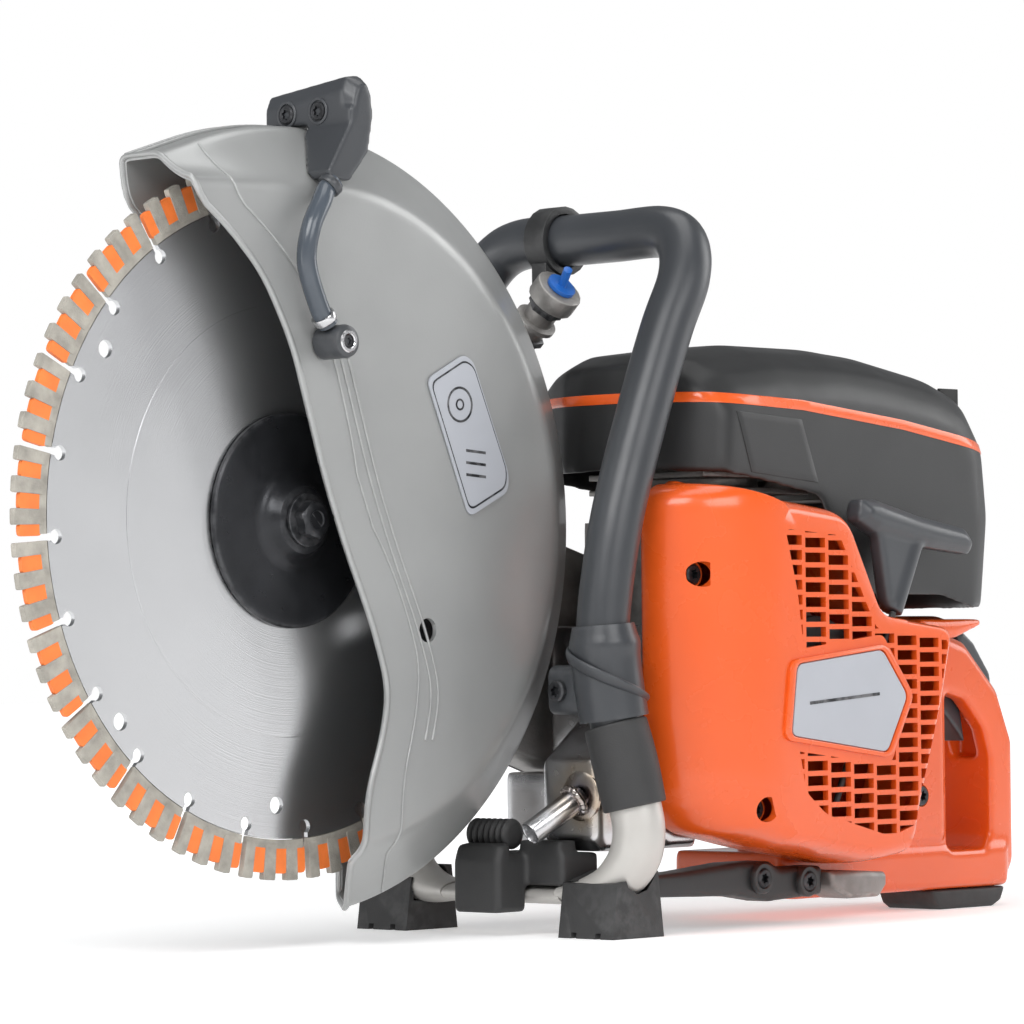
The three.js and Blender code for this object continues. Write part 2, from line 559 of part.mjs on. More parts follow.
// ---------- front handle, feet and underside ----------
function makeFrontHandle() {
  const { x, z } = TOP_BAR;
  const bare = [-155, 85.5, -138];
  const leftLeg = [
    [-153, 83.5, -126], [-151.5, 80, -108], [-148, LEG.left, -76], [-146.5, LEG.left - 1, -50],
    [-156, LEG.left, 0], [-175, LEG.left, 51], [-195, LEG.left, 97], [-209, LEG.left, 124],
    [-217, 68, 142], [x, 52, z],
  ];
  const rightLeg = [
    [x, -48, z], [-217, -65, 142], [-209, LEG.right, 124], [-195, LEG.right, 97], [-175, LEG.right, 51],
    [-156, LEG.right, 0], [-147, LEG.right, -50], [-149, LEG.right, -90], [-152.5, LEG.right, -137],
  ];
  add('front_handle_tube', 'grip', bentTube([...leftLeg, [x, 20, z], [x, -15, z], ...rightLeg], TUBE_R, 48, 10));

  const bendLeft = [bare, [-156, 88.5, -154], [-155, 87, -168], [-153, 76, -180], [-152, 62, -186]];
  const bendRight = [[-152, -52, -186], [-153, -62, -182], [-153, -70, -174], [-153, LEG.right, -160],
    [-152.5, LEG.right, -138]];
  const barHalf = 4.5;
  add('lower_handle_tube', 'bareTube', join(
    bentTube(bendLeft, TUBE_R - 0.2, 12, 12),
    bentTube(bendRight, TUBE_R - 0.2, 12, 12),
    box(-164, -140, -56, 66, -188 - barHalf, -188 + barHalf),
  ));
  add('handle_sleeve', 'rubber', cut(
    bentTube([[-150.7, 78, -101.5], [-152.8, 82.5, -121], [-155.3, 86.5, -143]], TUBE_R + 3, 4, 14),
    bentTube([[-149.5, 75.5, -90], [-151.5, 80, -108], [-153, 83.5, -126], [-155, 85.5, -138],
      [-156, 88.5, -154]], TUBE_R + 0.9, 10, 14),
  ));
  add('handle_collar', 'grip', cut(
    join(
      bentTube([[-146.4, LEG.left - 1, -52], [-148, LEG.left, -76], [-150.4, 77.6, -99]], TUBE_R + 4, 4, 14),
      slab([[-140, -72], [-166, -72], [-174, -84], [-166, -97], [-140, -97]], 42, 90),
    ),
    bentTube([[-147, LEG.left - 1, -46], [-148, LEG.left, -76], [-152.4, 82, -112]], TUBE_R + 1.4, 8, 14),
  ));
  add('collar_screw', 'darkSteel', rod([-139.7, 50, -85], [-136.5, 50, -85], 4.6, 12));

  const foot = (y0, y1, bend) => cut(
    slab([[-134, GROUND_Z], [-138, -181], [-160, -175], [-168, -175], [-172, GROUND_Z]], y0, y1),
    bentTube(bend, TUBE_R + GAP, 12, 12),
    box(-164 - GAP, -140 + GAP, -60, 70, -188 - barHalf - GAP, -180),
    ...[-0.22, 0.22].map((part) => {
      const y = (y0 + y1) / 2 + part * (y1 - y0);
      return box(-180, -120, y - 1.8, y + 1.8, GROUND_Z - 1, GROUND_Z + 3);
    }),
  );
  add('front_foot_left', 'rubber', foot(53, 90, bendLeft));
  add('front_foot_right', 'rubber', foot(-90, -54, bendRight));

  add('front_bumper', 'rubber', join(
    slab([[-118, -196], [-118, -170], [-121, -162], [-129, -161], [-129, -167], [-139.7, -167],
      [-139.7, -196]], -5, 27, 2),
    box(-166, -139, -5, 52, -183 + GAP, -166 - GAP),
    box(-152, -139, 21, 50, -167, -160),
  ));
  const ribs = Array.from({ length: 6 }, (_, i) => disc(7.5, -8 + i * 5, -5.5 + i * 5, 10, -138, -157));
  add('intake_bellows', 'rubber', join(disc(5.5, -8, 20, 10, -138, -157), ...ribs));

  add('side_rail', 'charcoal', slab([
    [-172, -178], [-198, -177], [-236, -174], [-262, -174], [-270, -178], [-304, -178], [-304, -193],
    [-262, -195], [-236, -191], [-172, -189],
  ], 64, 84, 2));
  add('rear_bracket', 'cast', slab([
    [-306, -181], [-318, -181], [-352, -183], [-352, -190], [-346, -196], [-322, -196], [-308, -190],
  ], 64, 88, 2));
}

function makeWaterValve() {
  const { x, z } = TOP_BAR;
  const clampR = TUBE_R + 0.8;
  add('valve_clamp', 'charcoal', cut(
    join(
      disc(clampR + 4, -30, -16, 20, x, z),
      box(x - 4, x + 14, -28, -18, z - 32, z - 12),
    ),
    disc(clampR, -40, 0, 20, x, z),
  ));
  // The valve leans up to the left; its tap turns on top of it.
  const foot = new THREE.Vector3(x + 24, -28, 96);
  const up = new THREE.Vector3(0, 24, 22).normalize();
  const along = (length, side = 0) => foot.clone().addScaledVector(up, length)
    .add(new THREE.Vector3(side, 0, 0)).toArray();
  add('water_valve', 'cast', join(rod(along(0), along(33), 8.5, 16), rod(along(30), along(40), 13, 18)));
  add('water_valve_lever', 'blue', join(
    rod(along(40 + GAP), along(42.5), 8, 16),
    rod(along(42), along(53, 4), 2.4, 10),
  ));
}

makeBladeGroup();
makeGuardGroup();
makeArm();
makeEngine();
makeExhaust();
makeRearHandle();
makeStarter();
makeTopCover();
makeFrontHandle();
makeWaterValve();

// Stand the finished saw on z = 0, centred in X and Y.
const extent = new THREE.Box3().setFromObject(model, true);
const middle = extent.getCenter(new THREE.Vector3());
model.position.set(-middle.x, -middle.y, -extent.min.z);

const group = new THREE.Group();
group.add(model);
group.updateMatrixWorld(true);

export default group;
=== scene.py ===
# Petrol cut-off saw: the looks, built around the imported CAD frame.
# Lengths are millimetres from the blade's centre (X forward, Y left, Z up) until a mesh is made.
import json
from math import asin, ceil, copysign, cos, pi, radians, sin

import bmesh
import bpy
from mathutils import Matrix, Vector, noise
from mathutils.bvhtree import BVHTree


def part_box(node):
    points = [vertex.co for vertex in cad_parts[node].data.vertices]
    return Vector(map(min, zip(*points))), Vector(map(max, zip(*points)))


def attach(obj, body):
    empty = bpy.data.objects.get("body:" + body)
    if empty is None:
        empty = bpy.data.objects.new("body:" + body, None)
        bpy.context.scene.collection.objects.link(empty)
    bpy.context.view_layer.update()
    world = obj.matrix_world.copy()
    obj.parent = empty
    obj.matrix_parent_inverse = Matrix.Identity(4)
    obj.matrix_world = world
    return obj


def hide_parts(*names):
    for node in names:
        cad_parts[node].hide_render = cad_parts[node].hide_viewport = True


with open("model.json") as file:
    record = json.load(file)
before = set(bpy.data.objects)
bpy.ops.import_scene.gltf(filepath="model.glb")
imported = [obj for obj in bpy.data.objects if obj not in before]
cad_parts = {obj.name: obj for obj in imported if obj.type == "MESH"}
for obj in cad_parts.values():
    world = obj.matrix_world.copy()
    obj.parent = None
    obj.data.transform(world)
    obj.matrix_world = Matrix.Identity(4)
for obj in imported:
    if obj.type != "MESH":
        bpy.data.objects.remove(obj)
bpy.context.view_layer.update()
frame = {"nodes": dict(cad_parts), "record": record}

MM = 0.001
LOW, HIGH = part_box("blade")
CENTRE = (LOW + HIGH) / 2
BODIES = frame["record"]["behaviour"]["bodies"]
BODY_OF = {node: body for body, nodes in BODIES.items() for node in nodes}
SLOT_OF = {row["node"]: row["material_slot"] for row in frame["record"]["subparts"]}
GROUND = -CENTRE.z / MM
SMOOTH_ANGLE = 38
DEGREES = 180 / pi  # in one radian


def at(x, y, z):
    """A point given in mm from the blade's centre, in metres in the frame."""
    return CENTRE + Vector((x, y, z)) * MM


# ---------- lines and outlines ----------
def catmull(points, steps):
    """A smooth line through the points, with steps pieces between each two."""
    line = [Vector(p) for p in points]
    padded = [2 * line[0] - line[1]] + line + [2 * line[-1] - line[-2]]
    out = []
    for i in range(1, len(padded) - 2):
        a, b, c, d = padded[i - 1:i + 3]
        for step in range(steps):
            t = step / steps
            out.append(0.5 * (2 * b + (c - a) * t + (2 * a - 5 * b + 4 * c - d) * t * t
                              + (3 * b - a - 3 * c + d) * t ** 3))
    out.append(line[-1])
    return out


def rounded(points, radius, steps=5, closed=True):
    """The outline with each corner turned into a round one."""
    out = []
    count = len(points)
    for i, point in enumerate(points):
        here = Vector(point)
        if not closed and i in (0, count - 1):
            out.append(here)
            continue
        before = Vector(points[i - 1]) - here
        after = Vector(points[(i + 1) % count]) - here
        reach = min(radius, before.length * 0.45, after.length * 0.45)
        start = here + before.normalized() * reach
        end = here + after.normalized() * reach
        for step in range(steps + 1):
            t = step / steps
            out.append((1 - t) ** 2 * start + 2 * t * (1 - t) * here + t * t * end)
    return out


def arc(cx, cz, r, start, end, steps):
    """Points on a round arc, in degrees from +X towards +Z."""
    angles = [radians(start + (end - start) * i / steps) for i in range(steps + 1)]
    return [Vector((cx + r * cos(a), cz + r * sin(a))) for a in angles]


def spaced(line, longest):
    """The line with its long stretches split up."""
    out = [line[0]]
    for a, b in zip(line, line[1:]):
        parts = max(1, ceil((b - a).length / longest))
        out += [a.lerp(b, i / parts) for i in range(1, parts + 1)]
    return out


# ---------- meshes ----------
def added(name, data):
    """A new object in the scene."""
    obj = bpy.data.objects.new(name, data)
    bpy.context.scene.collection.objects.link(obj)
    return obj


def mesh_object(name, points, faces):
    mesh = bpy.data.meshes.new(name)
    mesh.from_pydata([at(*p) for p in points], [], faces)
    return tidy(added(name, mesh))


def tidy(obj):
    """Welds the mesh and turns its faces outwards."""
    grid = bmesh.new()
    grid.from_mesh(obj.data)
    bmesh.ops.remove_doubles(grid, verts=grid.verts, dist=1e-6)
    bmesh.ops.recalc_face_normals(grid, faces=grid.faces)
    grid.to_mesh(obj.data)
    grid.free()
    return obj


def shade(obj, angle=SMOOTH_ANGLE):
    obj.data.shade_smooth()
    obj.data.set_sharp_from_angle(angle=radians(angle))


def shade_flat_faces(obj, angle=SMOOTH_ANGLE):
    """Smooth edges, while the broad flat faces keep their own direction."""
    shade(obj, angle)
    obj.modifiers.new("normals", "WEIGHTED_NORMAL").keep_sharp = True
    apply_modifiers(obj)


def evaluated_mesh(obj):
    bpy.context.view_layer.update()
    graph = bpy.context.evaluated_depsgraph_get()
    return bpy.data.meshes.new_from_object(obj.evaluated_get(graph))


def apply_modifiers(obj):
    mesh = evaluated_mesh(obj)
    obj.modifiers.clear()
    obj.data = mesh


def bevel(obj, width, segments=2, angle=40):
    modifier = obj.modifiers.new("edges", "BEVEL")
    modifier.width = width * MM
    modifier.segments = segments
    modifier.limit_method = "ANGLE"
    modifier.angle_limit = radians(angle)
    apply_modifiers(obj)


def thicken(obj, wall):
    """Turns a skin that faces left into a wall, inwards."""
    if obj.data.polygons[0].normal.y < 0:
        obj.data.flip_normals()
    modifier = obj.modifiers.new("wall", "SOLIDIFY")
    modifier.thickness = wall * MM
    modifier.offset = -1
    apply_modifiers(obj)


def boolean(obj, tool, operation="DIFFERENCE"):
    modifier = obj.modifiers.new("cut", "BOOLEAN")
    modifier.operation = operation
    modifier.solver = "EXACT"
    modifier.object = tool
    apply_modifiers(obj)
    bpy.data.objects.remove(tool)


def merged(name, objects):
    """One object holding the meshes of all of them."""
    grid = bmesh.new()
    for obj in objects:
        grid.from_mesh(obj.data)
    mesh = bpy.data.meshes.new(name)
    grid.to_mesh(mesh)
    grid.free()
    for obj in objects:
        bpy.data.objects.remove(obj)
    return added(name, mesh)


def rings(name, loops, closed=False):
    """A skin over loops of points, each with the same count, closed with a cap at each end."""
    count = len(loops[0])
    points = [p for loop in loops for p in loop]
    faces = []
    last = len(loops) if closed else len(loops) - 1
    for i in range(last):
        for j in range(count):
            a = i * count + j
            b = i * count + (j + 1) % count
            up = ((i + 1) % len(loops)) * count - i * count
            faces.append((a, b, b + up, a + up))
    if not closed:
        faces.append(tuple(range(count)))
        faces.append(tuple(range((len(loops) - 1) * count, len(loops) * count)))
    return mesh_object(name, points, faces)


def sweep(name, line, radius, sides=28, flat=None, side_hint=(0, 1, 0)):
    """A round tube along the line. radius and flat are numbers or functions of 0..1 along it."""
    line = [Vector(p) for p in line]
    loops = []
    across = Vector(side_hint)
    for i, here in enumerate(line):
        ahead = line[min(i + 1, len(line) - 1)]
        behind = line[max(i - 1, 0)]
        forward = (ahead - behind).normalized()
        across = (across - forward * across.dot(forward)).normalized()
        up = forward.cross(across)
        t = i / (len(line) - 1)
        wide = radius(t) if callable(radius) else radius
        tall = wide * (flat(t) if callable(flat) else (flat or 1))
        loops.append([
            here + across * wide * cos(a) + up * tall * sin(a)
            for a in (2 * pi * j / sides for j in range(sides))
        ])
    return rings(name, loops)


def turned(name, profile, centre=(0, 0, 0), axis=(0, 1, 0), sides=96):
    """A solid turned about an axis. Each profile row is [radius, height], radius may be a function."""
    return rings(name, round_loops(profile, centre, axis, sides))


def ring(name, profile, centre=(0, 0, 0), axis=(0, 1, 0), sides=96):
    """The same for a profile that closes on itself, which leaves a bore."""
    return rings(name, round_loops(profile, centre, axis, sides), closed=True)


def round_loops(profile, centre, axis, sides):
    middle = Vector(centre)
    up = Vector(axis).normalized()
    side = up.orthogonal().normalized()
    other = up.cross(side)
    loops = []
    for radius, height in profile:
        loop = []
        for j in range(sides):
            a = 2 * pi * j / sides
            r = radius(a) if callable(radius) else max(radius, 1e-3)
            loop.append(middle + up * height + (side * cos(a) + other * sin(a)) * r)
        loops.append(loop)
    return loops


def plate(name, outlines, y0, y1, edge=0.0):
    """Flat outlines of [x, z] points, drawn out along Y. An outline inside another is a hole."""
    curve = bpy.data.curves.new(name, "CURVE")
    curve.dimensions = "2D"
    curve.fill_mode = "BOTH"
    for outline in outlines:
        spline = curve.splines.new("POLY")
        spline.points.add(len(outline) - 1)
        spline.use_cyclic_u = True
        for knot, (x, z) in zip(spline.points, outline):
            knot.co = (x * MM, z * MM, 0, 1)
    curve.extrude = ((y1 - y0) / 2 - edge) * MM
    curve.bevel_depth = edge * MM
    curve.bevel_resolution = 1
    curve.offset = -edge * MM
    drawn = added(name, curve)
    mesh = evaluated_mesh(drawn)
    bpy.data.objects.remove(drawn)
    mesh.transform(Matrix.Translation(at(0, (y0 + y1) / 2, 0)) @ Matrix.Rotation(pi / 2, 4, "X"))
    mesh.name = name
    return tidy(added(name, mesh))


def box(name, x0, x1, y0, y1, z0, z1):
    points = [(x, y, z) for x in (x0, x1) for y in (y0, y1) for z in (z0, z1)]
    faces = [(0, 1, 3, 2), (4, 6, 7, 5), (0, 4, 5, 1), (2, 3, 7, 6), (0, 2, 6, 4), (1, 5, 7, 3)]
    return mesh_object(name, points, faces)


def copy_of(node):
    """A new piece with the CAD node's shape, as clean flat faces."""
    obj = added(node + "_piece", frame["nodes"][node].data.copy())
    obj.data.materials.clear()
    grid = bmesh.new()
    grid.from_mesh(obj.data)
    bmesh.ops.remove_doubles(grid, verts=grid.verts, dist=1e-6)
    bmesh.ops.dissolve_limit(grid, angle_limit=radians(1), verts=grid.verts, edges=grid.edges)
    grid.to_mesh(obj.data)
    grid.free()
    return obj


def crisp(node, width, segments=2, angle=40):
    """The CAD node with its edges broken, as on a machined or stamped part."""
    obj = copy_of(node)
    bevel(obj, width, segments, angle)
    shade(obj)
    return place(obj, node, replace=True)


def moulded(obj, voxel, rounds, factor=0.6):
    """Rounds a solid off all over, as on a moulded or cast part."""
    remesh = obj.modifiers.new("skin", "REMESH")
    remesh.mode = "VOXEL"
    remesh.voxel_size = voxel * MM
    smooth = obj.modifiers.new("round", "SMOOTH")
    smooth.factor = factor
    smooth.iterations = rounds
    apply_modifiers(obj)
    obj.data.shade_smooth()
    return obj


def soft(node, voxel, rounds, factor=0.6):
    """The CAD node rounded off all over."""
    return place(moulded(copy_of(node), voxel, rounds, factor), node, replace=True)


def place(obj, host, replace=False, slot=None):
    """Puts a piece on its CAD node's body, with its node's finish."""
    slot = slot or SLOT_OF[host]
    obj.data.materials.clear()
    obj.data.materials.append(FINISH[slot])
    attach(obj, BODY_OF[host])
    if replace:
        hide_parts(host)
    return obj


def dress(obj, host, replace=False, slot=None, angle=SMOOTH_ANGLE, finish=None):
    """Smooths a piece up to this many degrees and puts it in place, in its slot's finish or another."""
    shade(obj, angle)
    place(obj, host, replace, slot)
    if finish:
        recolour(obj, finish)


# ---------- materials ----------
class Shader:
    """A Principled material with its nodes, read from left to right."""

    def __init__(self, name, colour, roughness, metallic=0.0, coat=0.0):
        self.name = name
        self.material = bpy.data.materials.new("finish_" + name)
        self.material.use_nodes = True
        self.tree = self.material.node_tree
        self.surface = self.tree.nodes["Principled BSDF"]
        self.surface.inputs["Base Color"].default_value = (*colour, 1)
        self.surface.inputs["Roughness"].default_value = roughness
        self.surface.inputs["Metallic"].default_value = metallic
        self.surface.inputs["Coat Weight"].default_value = coat
        self.surface.inputs["Coat Roughness"].default_value = 0.08
        self.colour = colour
        self.roughness = roughness
        self.place = self.node("ShaderNodeTexCoord").outputs["Object"]
        self.height = None

    def node(self, kind, **values):
        node = self.tree.nodes.new(kind)
        for key, value in values.items():
            setattr(node, key, value)
        return node

    def link(self, start, end):
        self.tree.links.new(start, end)

    def noise(self, scale, detail=3.0, stretch=None):
        source = self.place
        if stretch:
            mapping = self.node("ShaderNodeMapping")
            mapping.inputs["Scale"].default_value = stretch
            self.link(source, mapping.inputs["Vector"])
            source = mapping.outputs["Vector"]
        texture = self.node("ShaderNodeTexNoise")
        texture.inputs["Scale"].default_value = scale
        texture.inputs["Detail"].default_value = detail
        self.link(source, texture.inputs["Vector"])
        return texture.outputs["Fac"]

    def remap(self, value, low, high, start=0.3, end=0.7):
        scaled = self.node("ShaderNodeMapRange")
        scaled.inputs["From Min"].default_value = start
        scaled.inputs["From Max"].default_value = end
        scaled.inputs["To Min"].default_value = low
        scaled.inputs["To Max"].default_value = high
        self.link(value, scaled.inputs["Value"])
        return scaled.outputs["Result"]

    def math(self, operation, first, second):
        node = self.node("ShaderNodeMath", operation=operation)
        for value, socket in zip((first, second), node.inputs):
            if isinstance(value, (int, float)):
                socket.default_value = value
            else:
                self.link(value, socket)
        return node.outputs[0]

    def mix(self, amount, first, second):
        node = self.node("ShaderNodeMix", data_type="RGBA")
        self.link(amount, node.inputs["Factor"])
        for value, socket in zip((first, second), (node.inputs["A"], node.inputs["B"])):
            if isinstance(value, tuple):
                socket.default_value = (*value, 1)
            else:
                self.link(value, socket)
        return node.outputs["Result"]

    def vary(self, scale=18, amount=0.08, gloss=0.06):
        """Slow changes in colour and gloss over the surface."""
        patches = self.noise(scale, 4)
        dark = tuple(c * (1 - amount) for c in self.colour)
        light = tuple(min(1, c * (1 + amount)) for c in self.colour)
        self.paint = self.mix(self.remap(patches, 0, 1), dark, light)
        self.link(self.paint, self.surface.inputs["Base Color"])
        shine = self.remap(self.noise(scale * 2.7, 5), self.roughness - gloss, self.roughness + gloss)
        self.link(shine, self.surface.inputs["Roughness"])
        return self

    def wear(self, colour, low=0.52, high=0.6, amount=0.6):
        """Rubbed edges, where the surface is convex."""
        point = self.node("ShaderNodeNewGeometry").outputs["Pointiness"]
        edges = self.remap(point, 0, amount, low, high)
        broken = self.math("MULTIPLY", edges, self.remap(self.noise(160, 6), 0, 1, 0.4, 0.62))
        self.paint = self.mix(broken, self.paint, colour)
        self.link(self.paint, self.surface.inputs["Base Color"])
        return self

    def relief(self, value, strength, distance=0.0004):
        """Adds a bump on top of those there are."""
        bump = self.node("ShaderNodeBump")
        bump.inputs["Strength"].default_value = strength
        bump.inputs["Distance"].default_value = distance
        self.link(value, bump.inputs["Height"])
        if self.height:
            self.link(self.height, bump.inputs["Normal"])
        self.height = bump.outputs["Normal"]
        self.link(self.height, self.surface.inputs["Normal"])
        return self

    def grain(self, scale, strength, stretch=None):
        return self.relief(self.noise(scale, 2, stretch), strength)


def blade_shader():
    """Ground steel: fine rings round the blade's axis and a faint straight grain."""
    shader = Shader("blade_steel", (0.60, 0.605, 0.615), 0.24, 1.0).vary(9, 0.02, 0.012)
    offset = shader.node("ShaderNodeVectorMath", operation="SUBTRACT")
    offset.inputs[1].default_value = CENTRE
    shader.link(shader.place, offset.inputs[0])
    level = shader.node("ShaderNodeVectorMath", operation="MULTIPLY")
    level.inputs[1].default_value = (1, 0, 1)
    shader.link(offset.outputs[0], level.inputs[0])
    length = shader.node("ShaderNodeVectorMath", operation="LENGTH")
    shader.link(level.outputs[0], length.inputs[0])
    lines = shader.node("ShaderNodeTexNoise", noise_dimensions="1D")
    lines.inputs["Scale"].default_value = 1400
    lines.inputs["Detail"].default_value = 3
    shader.link(length.outputs["Value"], lines.inputs["W"])
    shader.relief(lines.outputs["Fac"], 0.16, 0.0002)
    shader.grain(900, 0.02)
    tangent = shader.node("ShaderNodeTangent", direction_type="RADIAL", axis="Y")
    shader.link(tangent.outputs[0], shader.surface.inputs["Tangent"])
    shader.surface.inputs["Anisotropic"].default_value = 0.85
    return shader


def exhaust_shader():
    """Bare sheet steel, with straw and blue heat tint towards the exhaust pipe's root."""
    shader = Shader("bright_steel", (0.56, 0.56, 0.57), 0.25, 1.0).vary(30, 0.08, 0.04)
    distance = shader.node("ShaderNodeVectorMath", operation="DISTANCE")
    distance.inputs[1].default_value = at(*EXHAUST_ROOT)
    shader.link(shader.place, distance.inputs[0])
    near = shader.remap(distance.outputs["Value"], 1, 0, 0.006, 0.024)
    uneven = shader.math("MULTIPLY", near, shader.remap(shader.noise(90, 4), 0.3, 1))
    straw = shader.mix(uneven, shader.paint, (0.42, 0.27, 0.10))
    core = shader.remap(distance.outputs["Value"], 0.6, 0, 0.006, 0.013)
    shader.link(shader.mix(core, straw, (0.16, 0.17, 0.26)), shader.surface.inputs["Base Color"])
    return shader.grain(420, 0.06)


def make_finishes():
    dark_steel = Shader("dark_steel", (0.022, 0.023, 0.026), 0.36, 0.55).vary(40, 0.25, 0.1)
    dark_steel.wear((0.28, 0.28, 0.29), 0.53, 0.62, 0.5).grain(900, 0.12)
    guard = Shader("guard_paint", (0.31, 0.315, 0.312), 0.36, 0.35, 0.15).vary(14, 0.05, 0.05)
    guard.wear((0.46, 0.46, 0.46), 0.52, 0.6, 0.4).grain(1500, 0.10)
    cast = Shader("cast_metal", (0.27, 0.26, 0.25), 0.5, 0.75).vary(60, 0.2, 0.1)
    cast.wear((0.5, 0.49, 0.47), 0.52, 0.6, 0.5).grain(700, 0.35)
    orange = Shader("orange_plastic", (0.72, 0.095, 0.010), 0.27, 0.0, 0.35).vary(12, 0.05, 0.05)
    orange.wear((0.82, 0.19, 0.05), 0.53, 0.62, 0.4).grain(1300, 0.035)
    charcoal = Shader("charcoal_plastic", (0.016, 0.0164, 0.017), 0.42).vary(14, 0.1, 0.05)
    charcoal.wear((0.055, 0.055, 0.055), 0.52, 0.6, 0.5).grain(1900, 0.16)
    grip = Shader("grip_plastic", (0.038, 0.041, 0.046), 0.34).vary(16, 0.08, 0.05)
    grip.wear((0.10, 0.103, 0.108), 0.52, 0.6, 0.5).grain(2100, 0.12)
    rubber = Shader("rubber", (0.028, 0.028, 0.0285), 0.6).vary(22, 0.14, 0.06)
    rubber.wear((0.07, 0.07, 0.07), 0.52, 0.6, 0.6).grain(1300, 0.22)
    hose = Shader("hose_rubber", (0.060, 0.072, 0.088), 0.20).vary(30, 0.1, 0.05).grain(600, 0.05)
    tube = Shader("bare_tube", (0.50, 0.485, 0.46), 0.42, 0.35).vary(26, 0.08, 0.09)
    tube.wear((0.66, 0.64, 0.61), 0.52, 0.6, 0.4).grain(300, 0.10, (1, 1, 0.2))
    badge = Shader("badge_plate", (0.40, 0.415, 0.45), 0.34, 0.2).vary(20, 0.04, 0.04).grain(2600, 0.05)
    red = Shader("signal_red", (0.45, 0.02, 0.012), 0.42).vary(30, 0.08, 0.04).grain(1500, 0.1)
    blue = Shader("signal_blue", (0.012, 0.11, 0.42), 0.36).vary(30, 0.08, 0.04).grain(1500, 0.1)
    shaders = (dark_steel, guard, cast, orange, charcoal, grip, rubber, hose, tube, badge, red, blue)
    segment = Shader("diamond_segment", (0.36, 0.34, 0.30), 0.72, 0.25).vary(120, 0.22, 0.08)
    segment.grain(1100, 0.8)
    window = Shader("segment_paint", (0.83, 0.19, 0.035), 0.55).vary(90, 0.12, 0.06).grain(900, 0.3)
    deep = Shader("deep_shadow", (0.012, 0.012, 0.012), 0.7).vary(40, 0.2, 0.05).grain(900, 0.1)
    shaders += (segment, window, deep, blade_shader(), exhaust_shader())
    return {shader.name: shader.material for shader in shaders}


EXHAUST_ROOT = (-152.5, 52, -138)
EXHAUST_MOUTH = (-124, 44, -156)
FINISH = make_finishes()


def recolour(obj, finish):
    """Gives a piece another finish than its slot's usual one."""
    obj.data.materials.clear()
    obj.data.materials.append(FINISH[finish])


# ---------- screws ----------
def lobed(radius, depth=0.16):
    """The radius of a six-lobed socket, by angle."""
    return lambda a: radius * (1 + depth * cos(6 * a))


def socket_screw(name, host, head, axis, radius, tall, slot="dark_steel", replace=False):
    """A socket head screw with a six-lobed recess. head is the middle of its top."""
    key = radius * 0.48
    profile = [
        [radius, -tall], [radius, -radius * 0.16], [radius * 0.86, 0], [radius * 0.66, 0],
        [lobed(key), -0.2], [lobed(key * 0.94), -tall * 0.55], [0.05, -tall * 0.55],
    ]
    obj = turned(name, profile, head, axis, sides=48)
    dress(obj, host, replace=replace, slot=slot, angle=32)
    return obj


# ---------- blade ----------
BLADE_R = 175
SLOTS = 24
PITCH = 360 / SLOTS
FIRST_SLOT = 90 - 33.5
CORE_R = 154.8
SLOT_HALF = 1.75
KEYHOLE_R = 3.5
KEYHOLE_AT = 149.4
BLOCKS = 3
BORE_R = 12.9
GROUND_STEP_R = 105.5
COOLING_HOLES = [(34, 142), (154, 142), (274, 138.5), (-41, 146), (79, 144), (199, 144)]
COOLING_HOLE_R = 4.2
BASE_IN_R = 159.5
WINDOW_IN_R = 158.3
WINDOW_OUT_R = 171.6


def polar(r, degrees):
    return Vector((r * cos(radians(degrees)), r * sin(radians(degrees))))


